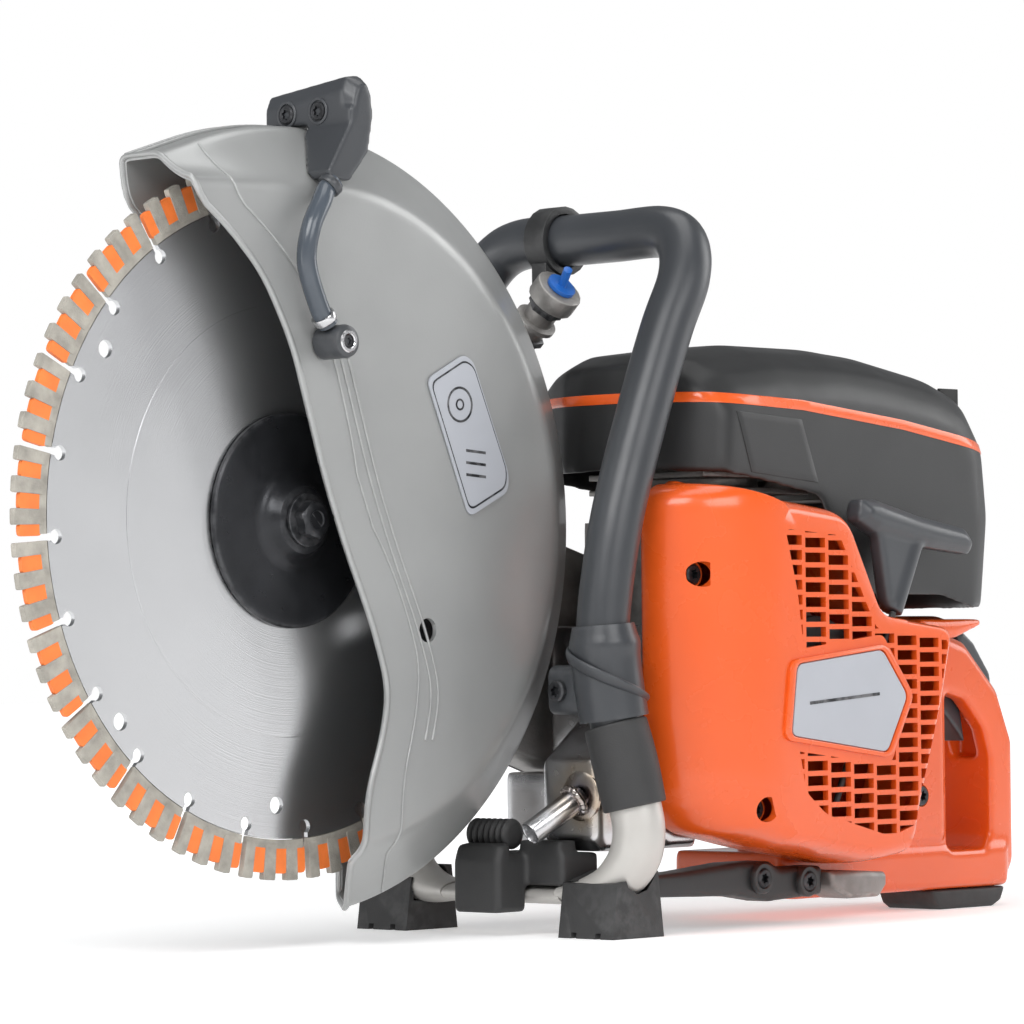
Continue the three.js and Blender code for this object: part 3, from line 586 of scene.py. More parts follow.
def make_blade():
    half_core = SLOT_HALF / CORE_R * DEGREES
    outline = []
    for i in range(SLOTS):
        middle = FIRST_SLOT + i * PITCH
        key = polar(KEYHOLE_AT, middle)
        outline.append(polar(CORE_R, middle - half_core))
        opening = asin(SLOT_HALF / KEYHOLE_R) * DEGREES
        outline += arc(key.x, key.y, KEYHOLE_R, middle - opening, middle - 360 + opening, 14)
        outline += [polar(CORE_R, middle + half_core + (PITCH - 2 * half_core) * k / 6) for k in range(6)]
    bore = arc(0, 0, BORE_R, 0, 354, 59)
    holes = []
    for degrees, r in COOLING_HOLES:
        middle = polar(r, degrees)
        holes.append(arc(middle.x, middle.y, COOLING_HOLE_R, 0, 345, 23))
    core = plate("blade_core", [outline, bore] + holes, -1.3, 1.3, 0.15)
    shade_flat_faces(core)
    place(core, "blade", replace=True)
    centre = plate("blade_centre", [arc(0, 0, GROUND_STEP_R, 0, 359, 359), bore], -1.55, 1.55, 0.22)
    shade_flat_faces(centre)
    place(centre, "blade")

    steels, blocks, windows = [], [], []
    half_rim = SLOT_HALF / BLADE_R * DEGREES
    unit = PITCH / BLOCKS
    for i in range(SLOTS):
        top = FIRST_SLOT + (i + 1) * PITCH
        first = top - half_rim
        last = top - PITCH + half_rim
        steels.append(
            arc(0, 0, CORE_R + 0.35, first, last, 8) + arc(0, 0, BASE_IN_R, last, first, 8))
        for k in range(BLOCKS):
            begin = first - 0.02 if k == 0 else top - k * unit - 0.25
            end = top - k * unit - unit * 0.56
            finish = last if k == BLOCKS - 1 else top - (k + 1) * unit - 0.25
            block = [polar(CORE_R + 2.5, begin), polar(BLADE_R - 0.1, begin),
                     polar(BLADE_R - 0.1, (begin + end) / 2), polar(BLADE_R - 0.1, end),
                     polar(CORE_R + 2.5, end)]
            blocks.append(rounded(block, 0.9, 2))
            window = [polar(WINDOW_IN_R, end + 0.3), polar(WINDOW_IN_R, finish - 0.3),
                      polar(WINDOW_OUT_R, finish - 0.2), polar(WINDOW_OUT_R, end + 0.2)]
            windows.append(rounded(window, 2.2, 3))
    steel = plate("blade_segment_bases", steels, -1.35, 1.35, 0.12)
    steel_block = plate("blade_segment_blocks", blocks, -1.75, 1.75, 0.25)
    paint = plate("blade_segment_windows", windows, -1.28, 1.28, 0.1)
    for obj, finish in ((steel, "diamond_segment"), (steel_block, "diamond_segment"),
                        (paint, "segment_paint")):
        shade_flat_faces(obj)
        place(obj, "blade")
        recolour(obj, finish)


def make_flanges():
    outer = ring("outer_flange_piece", [
        [8.3, 1.9], [52.2, 1.9], [52.5, 2.3], [52.5, 4.2], [51.6, 5.1], [49.5, 5.3], [47, 5.0],
        [26, 4.6], [23, 5.0], [20.5, 6.4], [18.6, 9.2], [17.4, 11.4], [16.4, 13.0], [14.8, 13.5],
        [8.3, 13.5],
    ], sides=128)
    dress(outer, "outer_flange", replace=True, angle=28)
    inner = ring("inner_flange_piece", [
        [8.3, -9.0], [44, -9.0], [46, -8.4], [51, -5.6], [52.5, -4.6], [52.5, -2.4], [52.2, -1.9],
        [12.4, -1.9], [12.4, 1.5], [8.3, 1.5],
    ], sides=96)
    dress(inner, "inner_flange", replace=True, angle=28)

    def hexagon(across):
        return lambda a: across / cos((a + pi / 6) % (pi / 3) - pi / 6)

    washer = ring("blade_bolt_washer", [
        [5.2, 13.9], [12.6, 13.9], [13.0, 14.2], [13.0, 15.5], [12.6, 15.8], [5.2, 15.8]], sides=72)
    head = turned("blade_bolt_piece", [
        [5, -5], [5, 15.9], [hexagon(8.4), 15.9], [hexagon(8.4), 20.6],
        [lambda a: min(8.5, hexagon(8.4)(a)), 21.3], [7.2, 21.9], [4.6, 21.9], [4.0, 21.3], [0.05, 21.2],
    ], sides=72)
    for obj in (washer, head):
        shade(obj, 30)
    place(head, "blade_bolt", replace=True)
    place(washer, "blade_bolt")


# ---------- guard ----------
GUARD_WALL = 2.5
GUARD_NEAR = 32
GUARD_EDGE = [
    (89, 230), (89, 171), (86, 151), (68, 139), (44, 117), (25, 84), (4, 19), (-9, -13), (-28, -53),
    (-38, -83), (-33, -107), (-23, -132), (-20, -163), (-6, -178), (-6, -230),
]
GUARD_SECTION = [(3.7, 32), (160, 32), (192.5, 8), (192.5, -18), (38, -18)]
NOSE_DROOP = 18  # degrees that the rim falls towards the nose
CREASE_R = 160
RIM_R = 192.5
TAIL_SLOPE = 46 / 58
COLUMNS = 150  # points along the guard at each radius
CREASE_INSET = 25
GUARD_HOLE = (-65, GUARD_NEAR, -54)
RAISED_INSETS = (30, 35)
FAR_LIPS = (-15.5, -9)
SIGN = (-88, 58)


def edge_x(z):
    """How far forward the guard's open edge is at this height."""
    for (x0, z0), (x1, z1) in zip(SMOOTH_EDGE, SMOOTH_EDGE[1:]):
        if z1 <= z <= z0:
            return x1 + (x0 - x1) * (z - z1) / max(z0 - z1, 1e-6)
    return SMOOTH_EDGE[0][0] if z > 0 else SMOOTH_EDGE[-1][0]


SMOOTH_EDGE = [(p.x, p.y) for p in rounded(GUARD_EDGE, 14, 5, closed=False)]


def guard_path(r, y):
    """The guard's points at one radius, from the open front edge round the back to the tail."""
    droop = NOSE_DROOP * max(0.1, min(1, (r - CREASE_R) / (RIM_R - CREASE_R)))
    turn = 90 - droop
    ahead = polar(1, -droop)
    start = polar(r, turn)
    nose = [start + ahead * (120 * (1 - k / 120)) for k in range(120)]
    line = nose + [polar(r, turn + k * 0.5) for k in range(int((276 - turn) * 2) + 1)]

    def covered(p):
        tail = p.y < -150 and p.x > -8 - (36 - y) * TAIL_SLOPE * min(1, (-150 - p.y) / 20)
        return p.x <= edge_x(p.y) and not tail

    inside = [i for i, p in enumerate(line) if covered(p)]
    first, last = inside[0], inside[-1]

    def crossing(out, within):
        for _ in range(18):
            middle = (out + within) / 2
            if covered(middle):
                within = middle
            else:
                out = middle
        return within

    head = crossing(line[first - 1], line[first]) if first else line[0]
    end = crossing(line[last + 1], line[last]) if last + 1 < len(line) else line[-1]
    return [head] + line[first + 1:last] + [end]


def along(path, distance):
    """The point this far along a path."""
    for a, b in zip(path, path[1:]):
        step = (b - a).length
        if distance <= step:
            return a.lerp(b, distance / max(step, 1e-9))
        distance -= step
    return path[-1]


def make_guard():
    section = spaced(rounded(GUARD_SECTION, 5, 4, closed=False), 5)
    points, edge_front, edge_tail, crease = [], [], [], []
    for r, y in section:
        path = guard_path(r, y)
        total = sum((b - a).length for a, b in zip(path, path[1:]))
        shares = [0.5 - 0.5 * cos(pi * k / (COLUMNS - 1)) for k in range(COLUMNS)]
        row = [along(path, total * share) for share in shares]
        points += [(p.x, y, p.y) for p in row]
        edge_front.append((row[0].x, y, row[0].y))
        edge_tail.append((row[-1].x, y, row[-1].y))
        if y > 8.5 and r > 24:
            p = along(path, CREASE_INSET)
            crease.append((p.x, y + 0.1, p.y))
            tail = along(path[::-1], CREASE_INSET)
            crease.insert(0, (tail.x, y + 0.1, tail.y))
    faces = []
    for i in range(len(section) - 1):
        for k in range(COLUMNS - 1):
            a = i * COLUMNS + k
            faces.append((a, a + 1, a + COLUMNS + 1, a + COLUMNS))
    guard = mesh_object("guard_shell", points, faces)
    thicken(guard, GUARD_WALL)
    hole = turned("hole", [[6, -8], [6, 8]], GUARD_HOLE, sides=40)
    boolean(guard, hole)
    dress(guard, "blade_guard", replace=True, angle=30)

    rim = edge_tail[::-1] + edge_front
    bead = sweep("guard_edge_bead", spaced([Vector(p) for p in rim], 3), 1.9, 12, flat=0.75)
    dress(bead, "blade_guard", angle=60)
    line = sweep("guard_crease_bead", spaced([Vector(p) for p in crease], 4), 0.7, 8)
    dress(line, "blade_guard", angle=60)
    for i, inset in enumerate(RAISED_INSETS):
        route = []
        for z in range(78, -112, -6):
            route.append((edge_x(z) - inset, GUARD_NEAR + 0.05, z))
        raised = sweep(f"guard_raised_line_{i + 1}", route, 0.75, 8)
        dress(raised, "blade_guard", angle=60)
    for i, y in enumerate(FAR_LIPS):
        path = guard_path(RIM_R + 0.3, y)
        lip = sweep(f"guard_far_lip_{i + 1}", [(p.x, y, p.y) for p in path[::2]], 1.3, 10)
        dress(lip, "blade_guard", angle=60)


def make_guard_plate():
    corners = [(-65, 70), (-91, 83), (-98, 80), (-123, 24), (-122, 15), (-94, 2)]
    outline = rounded(corners, 5, 5)
    middle = sum(outline, Vector((0, 0))) / len(outline)
    body = plate("guard_plate_piece", [outline], GUARD_NEAR + 0.2, GUARD_NEAR + 1.3, 0.3)
    shade_flat_faces(body)
    place(body, "guard_plate", replace=True)
    outer = [middle + (p - middle) * 0.93 for p in outline]
    inner = [middle + (p - middle) * 0.905 for p in outline]
    frame_line = plate("guard_plate_border", [outer, inner], GUARD_NEAR + 1.2, GUARD_NEAR + 1.42)
    dress(frame_line, "guard_plate", finish="dark_steel")
    disc = [arc(*SIGN, r, 0, 350, 35) for r in (9, 7.8)]
    spot = [arc(*SIGN, r, 0, 340, 17) for r in (3, 2)]
    bars = [[(-92, 36 - k * 6), (-106, 36 - k * 6 - 1), (-106, 34.6 - k * 6 - 1), (-92, 34.6 - k * 6)]
            for k in range(3)]
    sign = plate("guard_plate_sign", disc + spot + bars, GUARD_NEAR + 1.2, GUARD_NEAR + 1.42)
    dress(sign, "guard_plate", finish="dark_steel")


GRIP_SCREWS = [(-2, 199), (20, 199)]


def make_guard_grip():
    soft("guard_grip", 1.1, 7)
    for i, (y, z) in enumerate(GRIP_SCREWS):
        rim = ring(f"guard_grip_boss_{i + 1}", [
            [5.2, -0.4], [6.6, -0.4], [6.6, 0.5], [6.2, 0.8], [5.4, 0.8], [5.2, 0.5]],
            (-5, y, z), (1, 0, 0), 48)
        dress(rim, "guard_grip")
        socket_screw(f"guard_grip_screw_{i + 1}_piece", f"guard_grip_screw_{i + 1}",
                     (-3.6, y, z), (1, 0, 0), 4.6, 3, replace=True)


HOSE_ROUTE = [
    (4, 40, 163), (8.5, 39, 158.5), (14, 41, 152), (22, 42, 139), (24, 41, 122), (16, 41, 101),
    (10, 41, 93),
]


HOSE_CLIPS = (0.10, 0.93)
NOZZLE = (5, GUARD_NEAR + 0.3, 85)


def make_hose():
    line = catmull(HOSE_ROUTE, 8)
    hose = sweep("guard_water_hose_piece", line, 4.9, 28)
    dress(hose, "guard_water_hose", replace=True, angle=60)
    for i, part in enumerate(HOSE_CLIPS):
        k = int(part * (len(line) - 1))
        clip = ring(f"guard_hose_clip_{i + 1}", [
            [4.8, -2], [5.9, -2], [6.2, -1.6], [6.2, 1.6], [5.9, 2], [4.8, 2]],
            line[k], line[k + 1] - line[k - 1], 48)
        dress(clip, "guard_nozzle", slot="bright_steel" if i else "grip_plastic")
    body = turned("guard_nozzle_piece", [
        [7.4, 0], [8.2, 0.8], [8.2, 15], [7.6, 16.6], [6, 17.4], [5.2, 17.4], [5.0, 16.4], [0.05, 16.4],
    ], NOZZLE, sides=64)
    dress(body, "guard_nozzle", replace=True, angle=34)
    ferrule = ring("guard_nozzle_ring", [
        [3.4, 15.6], [5.6, 15.6], [5.6, 17.6], [5.0, 18.1], [3.8, 18.1], [3.4, 17.6]],
        NOZZLE, sides=48)
    dress(ferrule, "guard_nozzle", slot="bright_steel")
    socket_screw("guard_nozzle_screw", "guard_nozzle", (5, GUARD_NEAR + 17.6, 85), (0, 1, 0), 3.3, 2)


# ---------- starter ----------
STARTER_OUTLINE = [
    (-180, 12), (-192, 20), (-229, 15), (-290, 8), (-317, -46), (-382, -54), (-372, -95),
    (-352, -155), (-348, -174), (-312, -178), (-240, -166), (-196, -157), (-180, -140),
]
STARTER_IN = 71
STARTER_OUT = 115
STARTER_DEPTHS = [0, 0.12, 0.25, 0.36, 0.46, 0.55, 0.64, 0.72, 0.8, 0.87, 0.93, 0.97, 1.0]
STARTER_WALL = 3
SWEEP_BACK = 60


def starter_loop(depth, inset=0.0):
    """The cover's outline at a share of its depth: its front sweeps back, its edges draw in."""
    angle = depth * pi / 2
    y = STARTER_IN + (STARTER_OUT - STARTER_IN) * sin(angle) ** 1.15 - inset
    sweep_back = SWEEP_BACK * (1 - cos(angle))
    tuck = 9 * max(0, 1 - cos(angle)) ** 1.6
    loop = []
    outline = rounded(STARTER_OUTLINE, 9, 5)
    for p in spaced(outline + [outline[0]], 6)[:-1]:
        x = p.x - sweep_back * max(0, (p.x + 245) / 67)
        x += tuck if p.x < -340 else 0
        x -= inset * copysign(1, p.x + 278)
        z = -78 + (p.y + 78) * (1 - tuck / 85) - inset * copysign(1, p.y + 78)
        loop.append((x, y, z))
    return loop


def make_starter():
    shell = rings("starter_shell", [starter_loop(d) for d in STARTER_DEPTHS])
    inside = rings("inside", [starter_loop(d, STARTER_WALL) for d in STARTER_DEPTHS])
    inside.data.transform(Matrix.Translation((0, -0.0005, 0)))
    boolean(shell, inside)
    windows = []
    wide, tall, bar = (GRILLE[key] for key in ("wide", "tall", "bar"))
    for row in range(GRILLE["rows"]):
        for column in range(GRILLE["columns"]):
            x = GRILLE["x"] - column * wide
            z = GRILLE["z"] - row * tall - column * GRILLE["lean"]
            windows.append(box("window", x - wide + bar, x, 92, STARTER_OUT + 4, z - tall + bar, z))
    holes = merged("windows", windows)
    boolean(holes, plate("field", [rounded(GRILLE_AREA, 4, 3)], 90, STARTER_OUT + 6), "INTERSECT")
    boolean(holes, plate("kept", [rounded(BADGE_FRAME, 4, 3)], 89, STARTER_OUT + 7))
    boolean(shell, holes)
    sockets = []
    for x, z, y in STARTER_BOLTS:
        sockets.append(turned("socket", [[6.4, -7], [6.4, 8]], (x, y, z), sides=36))
    boolean(shell, merged("sockets", sockets))
    dress(shell, "starter_cover", replace=True, angle=34)
    for i, (x, z, y) in enumerate(STARTER_BOLTS):
        cup = ring(f"starter_bolt_cup_{i + 1}", [
            [5.6, -9], [6.6, -9], [6.6, -1.2], [6.3, -0.8], [5.8, -0.8], [5.6, -1.2]], (x, y, z), sides=40)
        dress(cup, "starter_cover")
        socket_screw(f"starter_bolt_{i + 1}_piece", f"starter_bolt_{i + 1}", (x, y, z), (0, 1, 0),
                     5.2, 5.5, replace=True)


STARTER_BOLTS = [(-195, -27, 93), (-226, -146, 106), (-356, -143, 109)]
BADGE = [(-247, -73), (-315, -66), (-335, -90), (-318, -119), (-242, -109)]
GRILLE = {"rows": 24, "columns": 8, "x": -237, "z": 8, "wide": 18.4, "tall": 7.6, "lean": 1.2, "bar": 2.6}
GRILLE_AREA = [
    (-240, -4), (-283, -7), (-312, -55), (-372, -61), (-363, -98), (-347, -156), (-322, -163),
    (-270, -150), (-254, -138), (-248, -112), (-254, -70), (-249, -36),
]
BADGE_FRAME = [(-243, -66), (-317, -58), (-342, -90), (-322, -126), (-238, -116)]


def make_badge():
    body = plate("starter_badge_piece", [rounded(BADGE, 4, 4)], STARTER_OUT - 0.5, STARTER_OUT + 1.4, 0.4)
    shade_flat_faces(body)
    place(body, "starter_badge", replace=True)
    bar = plate("starter_badge_line", [[(-256, -92), (-312, -88), (-312, -89.6), (-256, -93.6)]],
                STARTER_OUT + 1.2, STARTER_OUT + 1.6)
    dress(bar, "starter_badge", finish="dark_steel")
    middle = sum((Vector(p) for p in BADGE), Vector((0, 0))) / len(BADGE)
    outer = rounded([middle + (Vector(p) - middle) * 1.12 for p in BADGE], 6, 4)
    inner = rounded([middle + (Vector(p) - middle) * 1.02 for p in BADGE], 4, 4)
    frame_piece = plate("starter_badge_frame", [outer, inner], STARTER_OUT - 1, STARTER_OUT + 1.8, 0.5)
    dress(frame_piece, "starter_cover")


def make_starter_handle():
    soft("starter_handle", 1.1, 9)
    rope = sweep("starter_rope_piece", rope_line(), 1.7, 16)
    dress(rope, "starter_rope", replace=True, angle=60)


def rope_line():
    low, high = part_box("starter_rope")
    low = (low - CENTRE) / MM
    high = (high - CENTRE) / MM
    top = Vector((low.x + 1.6, (low.y + high.y) / 2, high.z - 0.8))
    end = Vector((high.x - 1.6, (low.y + high.y) / 2, low.z + 0.8))
    return [top.lerp(end, k / 20) for k in range(21)]


# ---------- top cover ----------
COVER_MIDDLE = (-338, 26)
STRIPE_PARTS = 300
STRIPE_HALF = 2.6
STRIPE_EDGE = [
    (STRIPE_HALF, -0.8), (STRIPE_HALF, 0.25), (STRIPE_HALF * 0.8, 0.5), (-STRIPE_HALF * 0.8, 0.5),
    (-STRIPE_HALF, 0.25), (-STRIPE_HALF, -0.8),
]
PANEL = [(-230, 56.5), (-281, 53.5), (-294, 21), (-241, 25.5)]
PANEL_ROWS = 8
PANEL_COLUMNS = 12
STRIPE_LINE = [(-150, 63), (-204, 64), (-282, 61), (-364, 53), (-426, 44), (-500, 33)]


def stripe_z(x):
    for (x0, z0), (x1, z1) in zip(STRIPE_LINE, STRIPE_LINE[1:]):
        if x1 <= x <= x0:
            return z1 + (z0 - z1) * (x - x1) / (x0 - x1)
    return STRIPE_LINE[-1][1]


def tree_of(obj):
    graph = bpy.context.evaluated_depsgraph_get()
    bpy.context.view_layer.update()
    return BVHTree.FromObject(obj, graph)


def hit(tree, start, aim):
    """Where a ray from start towards aim meets the surface, in mm, with the surface's normal."""
    a = at(*start)
    way = (at(*aim) - a).normalized()
    place_hit, normal, _, _ = tree.ray_cast(a, way)
    if place_hit is None:
        return None
    return (place_hit - CENTRE) / MM, normal


def make_top_cover():
    cover = moulded(copy_of("top_cover"), 1.7, 26, 0.75)
    cover.name = "top_cover_shell"
    tree = tree_of(cover)
    # the orange stripe runs all the way round
    mid_x, mid_y = COVER_MIDDLE
    loops = []
    for k in range(STRIPE_PARTS):
        a = 2 * pi * k / STRIPE_PARTS
        out = (mid_x + 300 * cos(a), mid_y + 220 * sin(a))
        aim = (mid_x + 96 * cos(a), mid_y)
        z = 55
        for _ in range(3):
            found = hit(tree, (*out, z), (*aim, z))
            if found is None:
                break
            z = stripe_z(found[0].x)
        loop = []
        for dz, lift in STRIPE_EDGE:
            found = hit(tree, (*out, z + dz), (*aim, z + dz))
            loop.append(found[0] + found[1] * lift)
        loops.append(loop)
    stripe = rings("top_cover_stripe", loops, closed=True)
    dress(stripe, "top_cover", slot="orange_plastic", angle=30)
    # a slightly raised panel on the left side, under the stripe
    corners = [Vector(p) for p in PANEL]
    points = []
    for i in range(PANEL_COLUMNS + 1):
        top = corners[0].lerp(corners[1], i / PANEL_COLUMNS)
        bottom = corners[3].lerp(corners[2], i / PANEL_COLUMNS)
        for j in range(PANEL_ROWS + 1):
            p = top.lerp(bottom, j / PANEL_ROWS)
            found = hit(tree, (p.x, 200, p.y), (p.x, mid_y, p.y))
            points.append(found[0] + Vector((0, 0.35, 0)))
    step = PANEL_ROWS + 1
    starts = [i * step + j for i in range(PANEL_COLUMNS) for j in range(PANEL_ROWS)]
    faces = [(a, a + 1, a + step + 1, a + step) for a in starts]
    panel = mesh_object("top_cover_panel", points, faces)
    thicken(panel, 1.2)
    bevel(panel, 0.25, 2, 50)
    dress(panel, "top_cover")
    # a moulded slot near the top
    recess = plate("recess", [rounded([(-437, 73), (-443, 73), (-447, 42), (-440, 42)], 2.5, 3)], 60, 130)
    boolean(cover, recess)
    dress(cover, "top_cover", replace=True, angle=50)
    back = box("top_cover_slot_floor", -450, -434, 60, 62, 38, 76)
    bevel(back, 0.4)
    place(back, "top_cover")
    recolour(back, "deep_shadow")


# ---------- handles ----------
LEFT_LEG = [
    (-153, 83.5, -126), (-151.5, 80, -108), (-148, 75.5, -76), (-146.5, 74.5, -50), (-156, 75.5, 0),
    (-175, 75.5, 51), (-195, 75.5, 97), (-209, 75.5, 124), (-217, 68, 142), (-220, 52, 150),
]
RIGHT_LEG = [
    (-220, -48, 150), (-217, -65, 142), (-209, -73.5, 124), (-195, -73.5, 97), (-175, -73.5, 51),
    (-156, -73.5, 0), (-147, -73.5, -50), (-149, -73.5, -90), (-152.5, -73.5, -137),
]
TUBE_R = 13.4


COLLAR_FLANGE = {"start": -110, "turn": 290, "top": -64, "drop": 27, "lift": 5.2, "parts": 48}


def make_front_handle():
    route = LEFT_LEG + [(-220, 20, 150), (-220, -15, 150)] + RIGHT_LEG
    tube = sweep("front_handle_tube_piece", catmull(route, 8), TUBE_R, 40)
    dress(tube, "front_handle_tube", replace=True, angle=60)
    sleeve_line = catmull([
        (-150.7, 78, -101.5), (-152.8, 82.5, -121), (-155.3, 86.5, -143)], 10)
    sleeve = sweep("handle_sleeve_piece", sleeve_line,
                   lambda t: TUBE_R + 2.6 + 0.5 * sin(pi * t), 44)
    bevel(sleeve, 1.0, 2, 50)
    dress(sleeve, "handle_sleeve", replace=True)
    collar_line = catmull([(-146.4, 74.5, -52), (-148, 75.5, -76), (-150.4, 77.6, -99)], 12)

    def collar_r(t):
        lip = max(0, 1 - abs(t - 0.22) / 0.10)
        return TUBE_R + 2.2 + 1.9 * min(1, t * 6) + 0.6 * lip

    collar = sweep("handle_collar_piece", collar_line, collar_r, 44)
    dress(collar, "handle_collar", replace=True, angle=50)
    flange_line = []
    for k in range(COLLAR_FLANGE["parts"] + 1):
        t = k / COLLAR_FLANGE["parts"]
        a = radians(COLLAR_FLANGE["start"] + COLLAR_FLANGE["turn"] * t)
        r = TUBE_R + COLLAR_FLANGE["lift"]
        z = COLLAR_FLANGE["top"] - COLLAR_FLANGE["drop"] * (0.5 - 0.5 * cos(pi * t))
        middle = Vector((-147.4, 75.2, z))
        flange_line.append(middle + Vector((r * cos(a), r * sin(a), 0)))
    flange = sweep("handle_collar_flange", flange_line, 3.4, 14, flat=0.42, side_hint=(0, 0, 1))
    dress(flange, "handle_collar", angle=60)
    lug = plate("handle_collar_lug", [rounded([
        (-139.8, -72), (-163, -72), (-170, -84), (-163, -97), (-139.8, -97)], 6, 4)], 42, 64, 1.6)
    dress(lug, "handle_collar")
    socket_screw("collar_screw_piece", "collar_screw", (-136.5, 50, -85), (1, 0, 0), 5.4, 4.0, replace=True)


def make_lower_handle():
    left = catmull([
        (-155, 85.5, -138), (-156, 88.3, -154), (-155, 86, -168), (-153, 76, -180), (-152, 62, -185.5),
        (-152, 46, -187.5)], 8)
    right = catmull([
        (-152, -34, -187.5), (-152, -50, -186), (-153, -62, -182), (-153, -70, -174), (-153, -73.5, -160),
        (-152.5, -73.5, -138)], 8)

    def squeeze(t):
        return 1 - 0.62 * max(0, min(1, (t - 0.35) / 0.65)) ** 1.3

    tubes = [
        sweep("a", left, TUBE_R - 0.2, 36, flat=squeeze, side_hint=(1, 0, 0)),
        sweep("b", right, TUBE_R - 0.2, 36, flat=lambda t: squeeze(1 - t), side_hint=(1, 0, 0)),
        sweep("c", [(-152, 48 - k * 4.2, -187.8) for k in range(21)], 12.6, 32, flat=0.37,
              side_hint=(1, 0, 0)),
    ]
    bend = merged("lower_handle_tube_piece", tubes)
    dress(bend, "lower_handle_tube", replace=True, angle=60)


def make_feet():
    for node, width in (("front_foot_left", 2.4), ("front_foot_right", 2.4), ("rear_foot", 2.0)):
        crisp(node, width, 3, 35)


# ---------- engine underside, muffler, water valve ----------
def make_muffler():
    soft("muffler", 1.5, 8)
    root = Vector(EXHAUST_ROOT)
    mouth = Vector(EXHAUST_MOUTH)
    way = mouth - root
    pipe = ring("exhaust_outlet_piece", [
        [5.3, 0], [6.3, 0], [6.3, way.length - 0.5], [6.1, way.length], [5.5, way.length],
        [5.3, way.length - 0.5],
    ], root, way, 64)
    dress(pipe, "exhaust_outlet", replace=True)
    seat = ring("exhaust_seat", [
        [5.0, -1.5], [12.5, -1.5], [12.5, 0.1], [11.5, 0.7], [7.5, 1.2], [5.0, 1.2]],
        root + Vector((-0.4, 0, 0)), (1, 0, 0), 64)
    dress(seat, "muffler")
    bead = []
    side = way.orthogonal().normalized()
    other = way.normalized().cross(side)
    for k in range(73):
        a = 2 * pi * k / 72
        r = 6.9 + 0.35 * sin(a * 14)
        lump = noise.noise(Vector((cos(a), sin(a), 0)) * 4)
        spot = root + way.normalized() * (4.2 + 0.8 * lump)
        bead.append(spot + side * r * cos(a) + other * r * sin(a))
    weld = sweep("exhaust_weld", bead, lambda t: 1.9 + 0.25 * sin(t * 2 * pi * 18), 12)
    dress(weld, "exhaust_outlet", angle=60)


RAIL_BOLTS = [(-253, -182.5), (-289, -185.5)]


def make_underside():
    soft("front_bumper", 1.2, 9)
    profile = [[4.5, -8]]
    for k in range(7):
        y = -8 + k * 4
        profile += [[5.2, y + 0.2], [7.4, y + 1.2], [7.8, y + 2.0], [7.4, y + 2.8], [5.2, y + 3.8]]
    profile.append([4.5, 20])
    bellows = turned("intake_bellows_piece", profile, (-138, 0, -157), sides=48)
    dress(bellows, "intake_bellows", replace=True, angle=50)
    soft("side_rail", 1.2, 7)
    crisp("rear_bracket", 1.6, 3, 35)
    for i, (x, z) in enumerate(RAIL_BOLTS):
        boss = ring(f"rail_boss_{i + 1}", [
            [5.0, 83], [8.0, 83], [8.0, 86.4], [7.4, 87.2], [5.6, 87.2], [5.0, 86.6]], (x, 0, z), sides=48)
        dress(boss, "side_rail")
        socket_screw(f"rail_bolt_{i + 1}", "side_rail", (x, 87.6, z), (0, 1, 0), 4.9, 4.5)


def make_valve():
    for node in ("valve_clamp", "water_valve", "water_valve_lever"):
        crisp(node, 0.8, 2, 35)
    axis = Vector((0, 24, 22)).normalized()
    foot = Vector((-196, -28, 96))
    for i, (height, radius, tall) in enumerate(((4, 10.5, 5), (14, 11.5, 4), (24, 10, 6))):
        nut = turned(f"water_valve_nut_{i + 1}", [
            [radius * 0.8, 0], [radius, 0.8], [radius, tall - 0.8], [radius * 0.8, tall]],
            foot + axis * height, axis, 6 if i != 1 else 48)
        dress(nut, "water_valve", slot="dark_steel" if i != 1 else "cast_metal", angle=30)
    inlet_line = [foot + axis * 18 + Vector((k, -k * 2.6, -k * 0.5)) for k in range(9)]
    inlet = sweep("water_valve_inlet", inlet_line, lambda t: 4.6 + 0.8 * abs(sin(t * 9)), 24)
    dress(inlet, "water_valve", slot="dark_steel", angle=50)
    feed = sweep("water_feed_hose", catmull([
        (-196, -30, 94), (-194, -34, 84), (-192, -38, 70), (-190, -40, 58)], 8), 5.0, 24)
    dress(feed, "water_valve", slot="hose_rubber", angle=60)


# ---------- rear handle ----------
def make_rear_handle():
    soft("rear_handle", 1.5, 9, 0.65)
    for node in ("throttle_trigger", "throttle_lockout"):
        soft(node, 0.8, 6)
    shroud = plate("engine_shroud", [rounded([
        (-206, 22), (-292, 10), (-312, -40), (-300, -60), (-206, -60)], 6, 4)], 62, 68, 1.2)
    dress(shroud, "crankcase", slot="orange_plastic")


# ---------- what is inside or on the right ----------
def make_rest():
    machined = {
        "spindle_shaft": 0.5, "driven_pulley": 0.6, "spindle_bearing": 0.4, "cutting_arm": 1.2,
        "belt_cover": 1.0, "clutch_drum": 0.5, "clutch_shoes": 0.6, "crankshaft": 0.5, "flywheel": 0.5,
        "crankcase": 1.5, "cylinder": 0.6, "spark_plug": 0.5, "carburettor": 1.0, "air_filter": 2.0,
        "piston": 0.5, "drive_belt": 0.6, "starter_pulley": 0.6, "stop_switch": 0.8, "choke_lever": 0.8,
        "fuel_cap": 1.2, "decompression_button": 0.8,
    }
    for node, width in machined.items():
        crisp(node, width)


# ---------- studio ----------
FLOOR_GLOW = 0.36
FLOOR_HALF = 9000


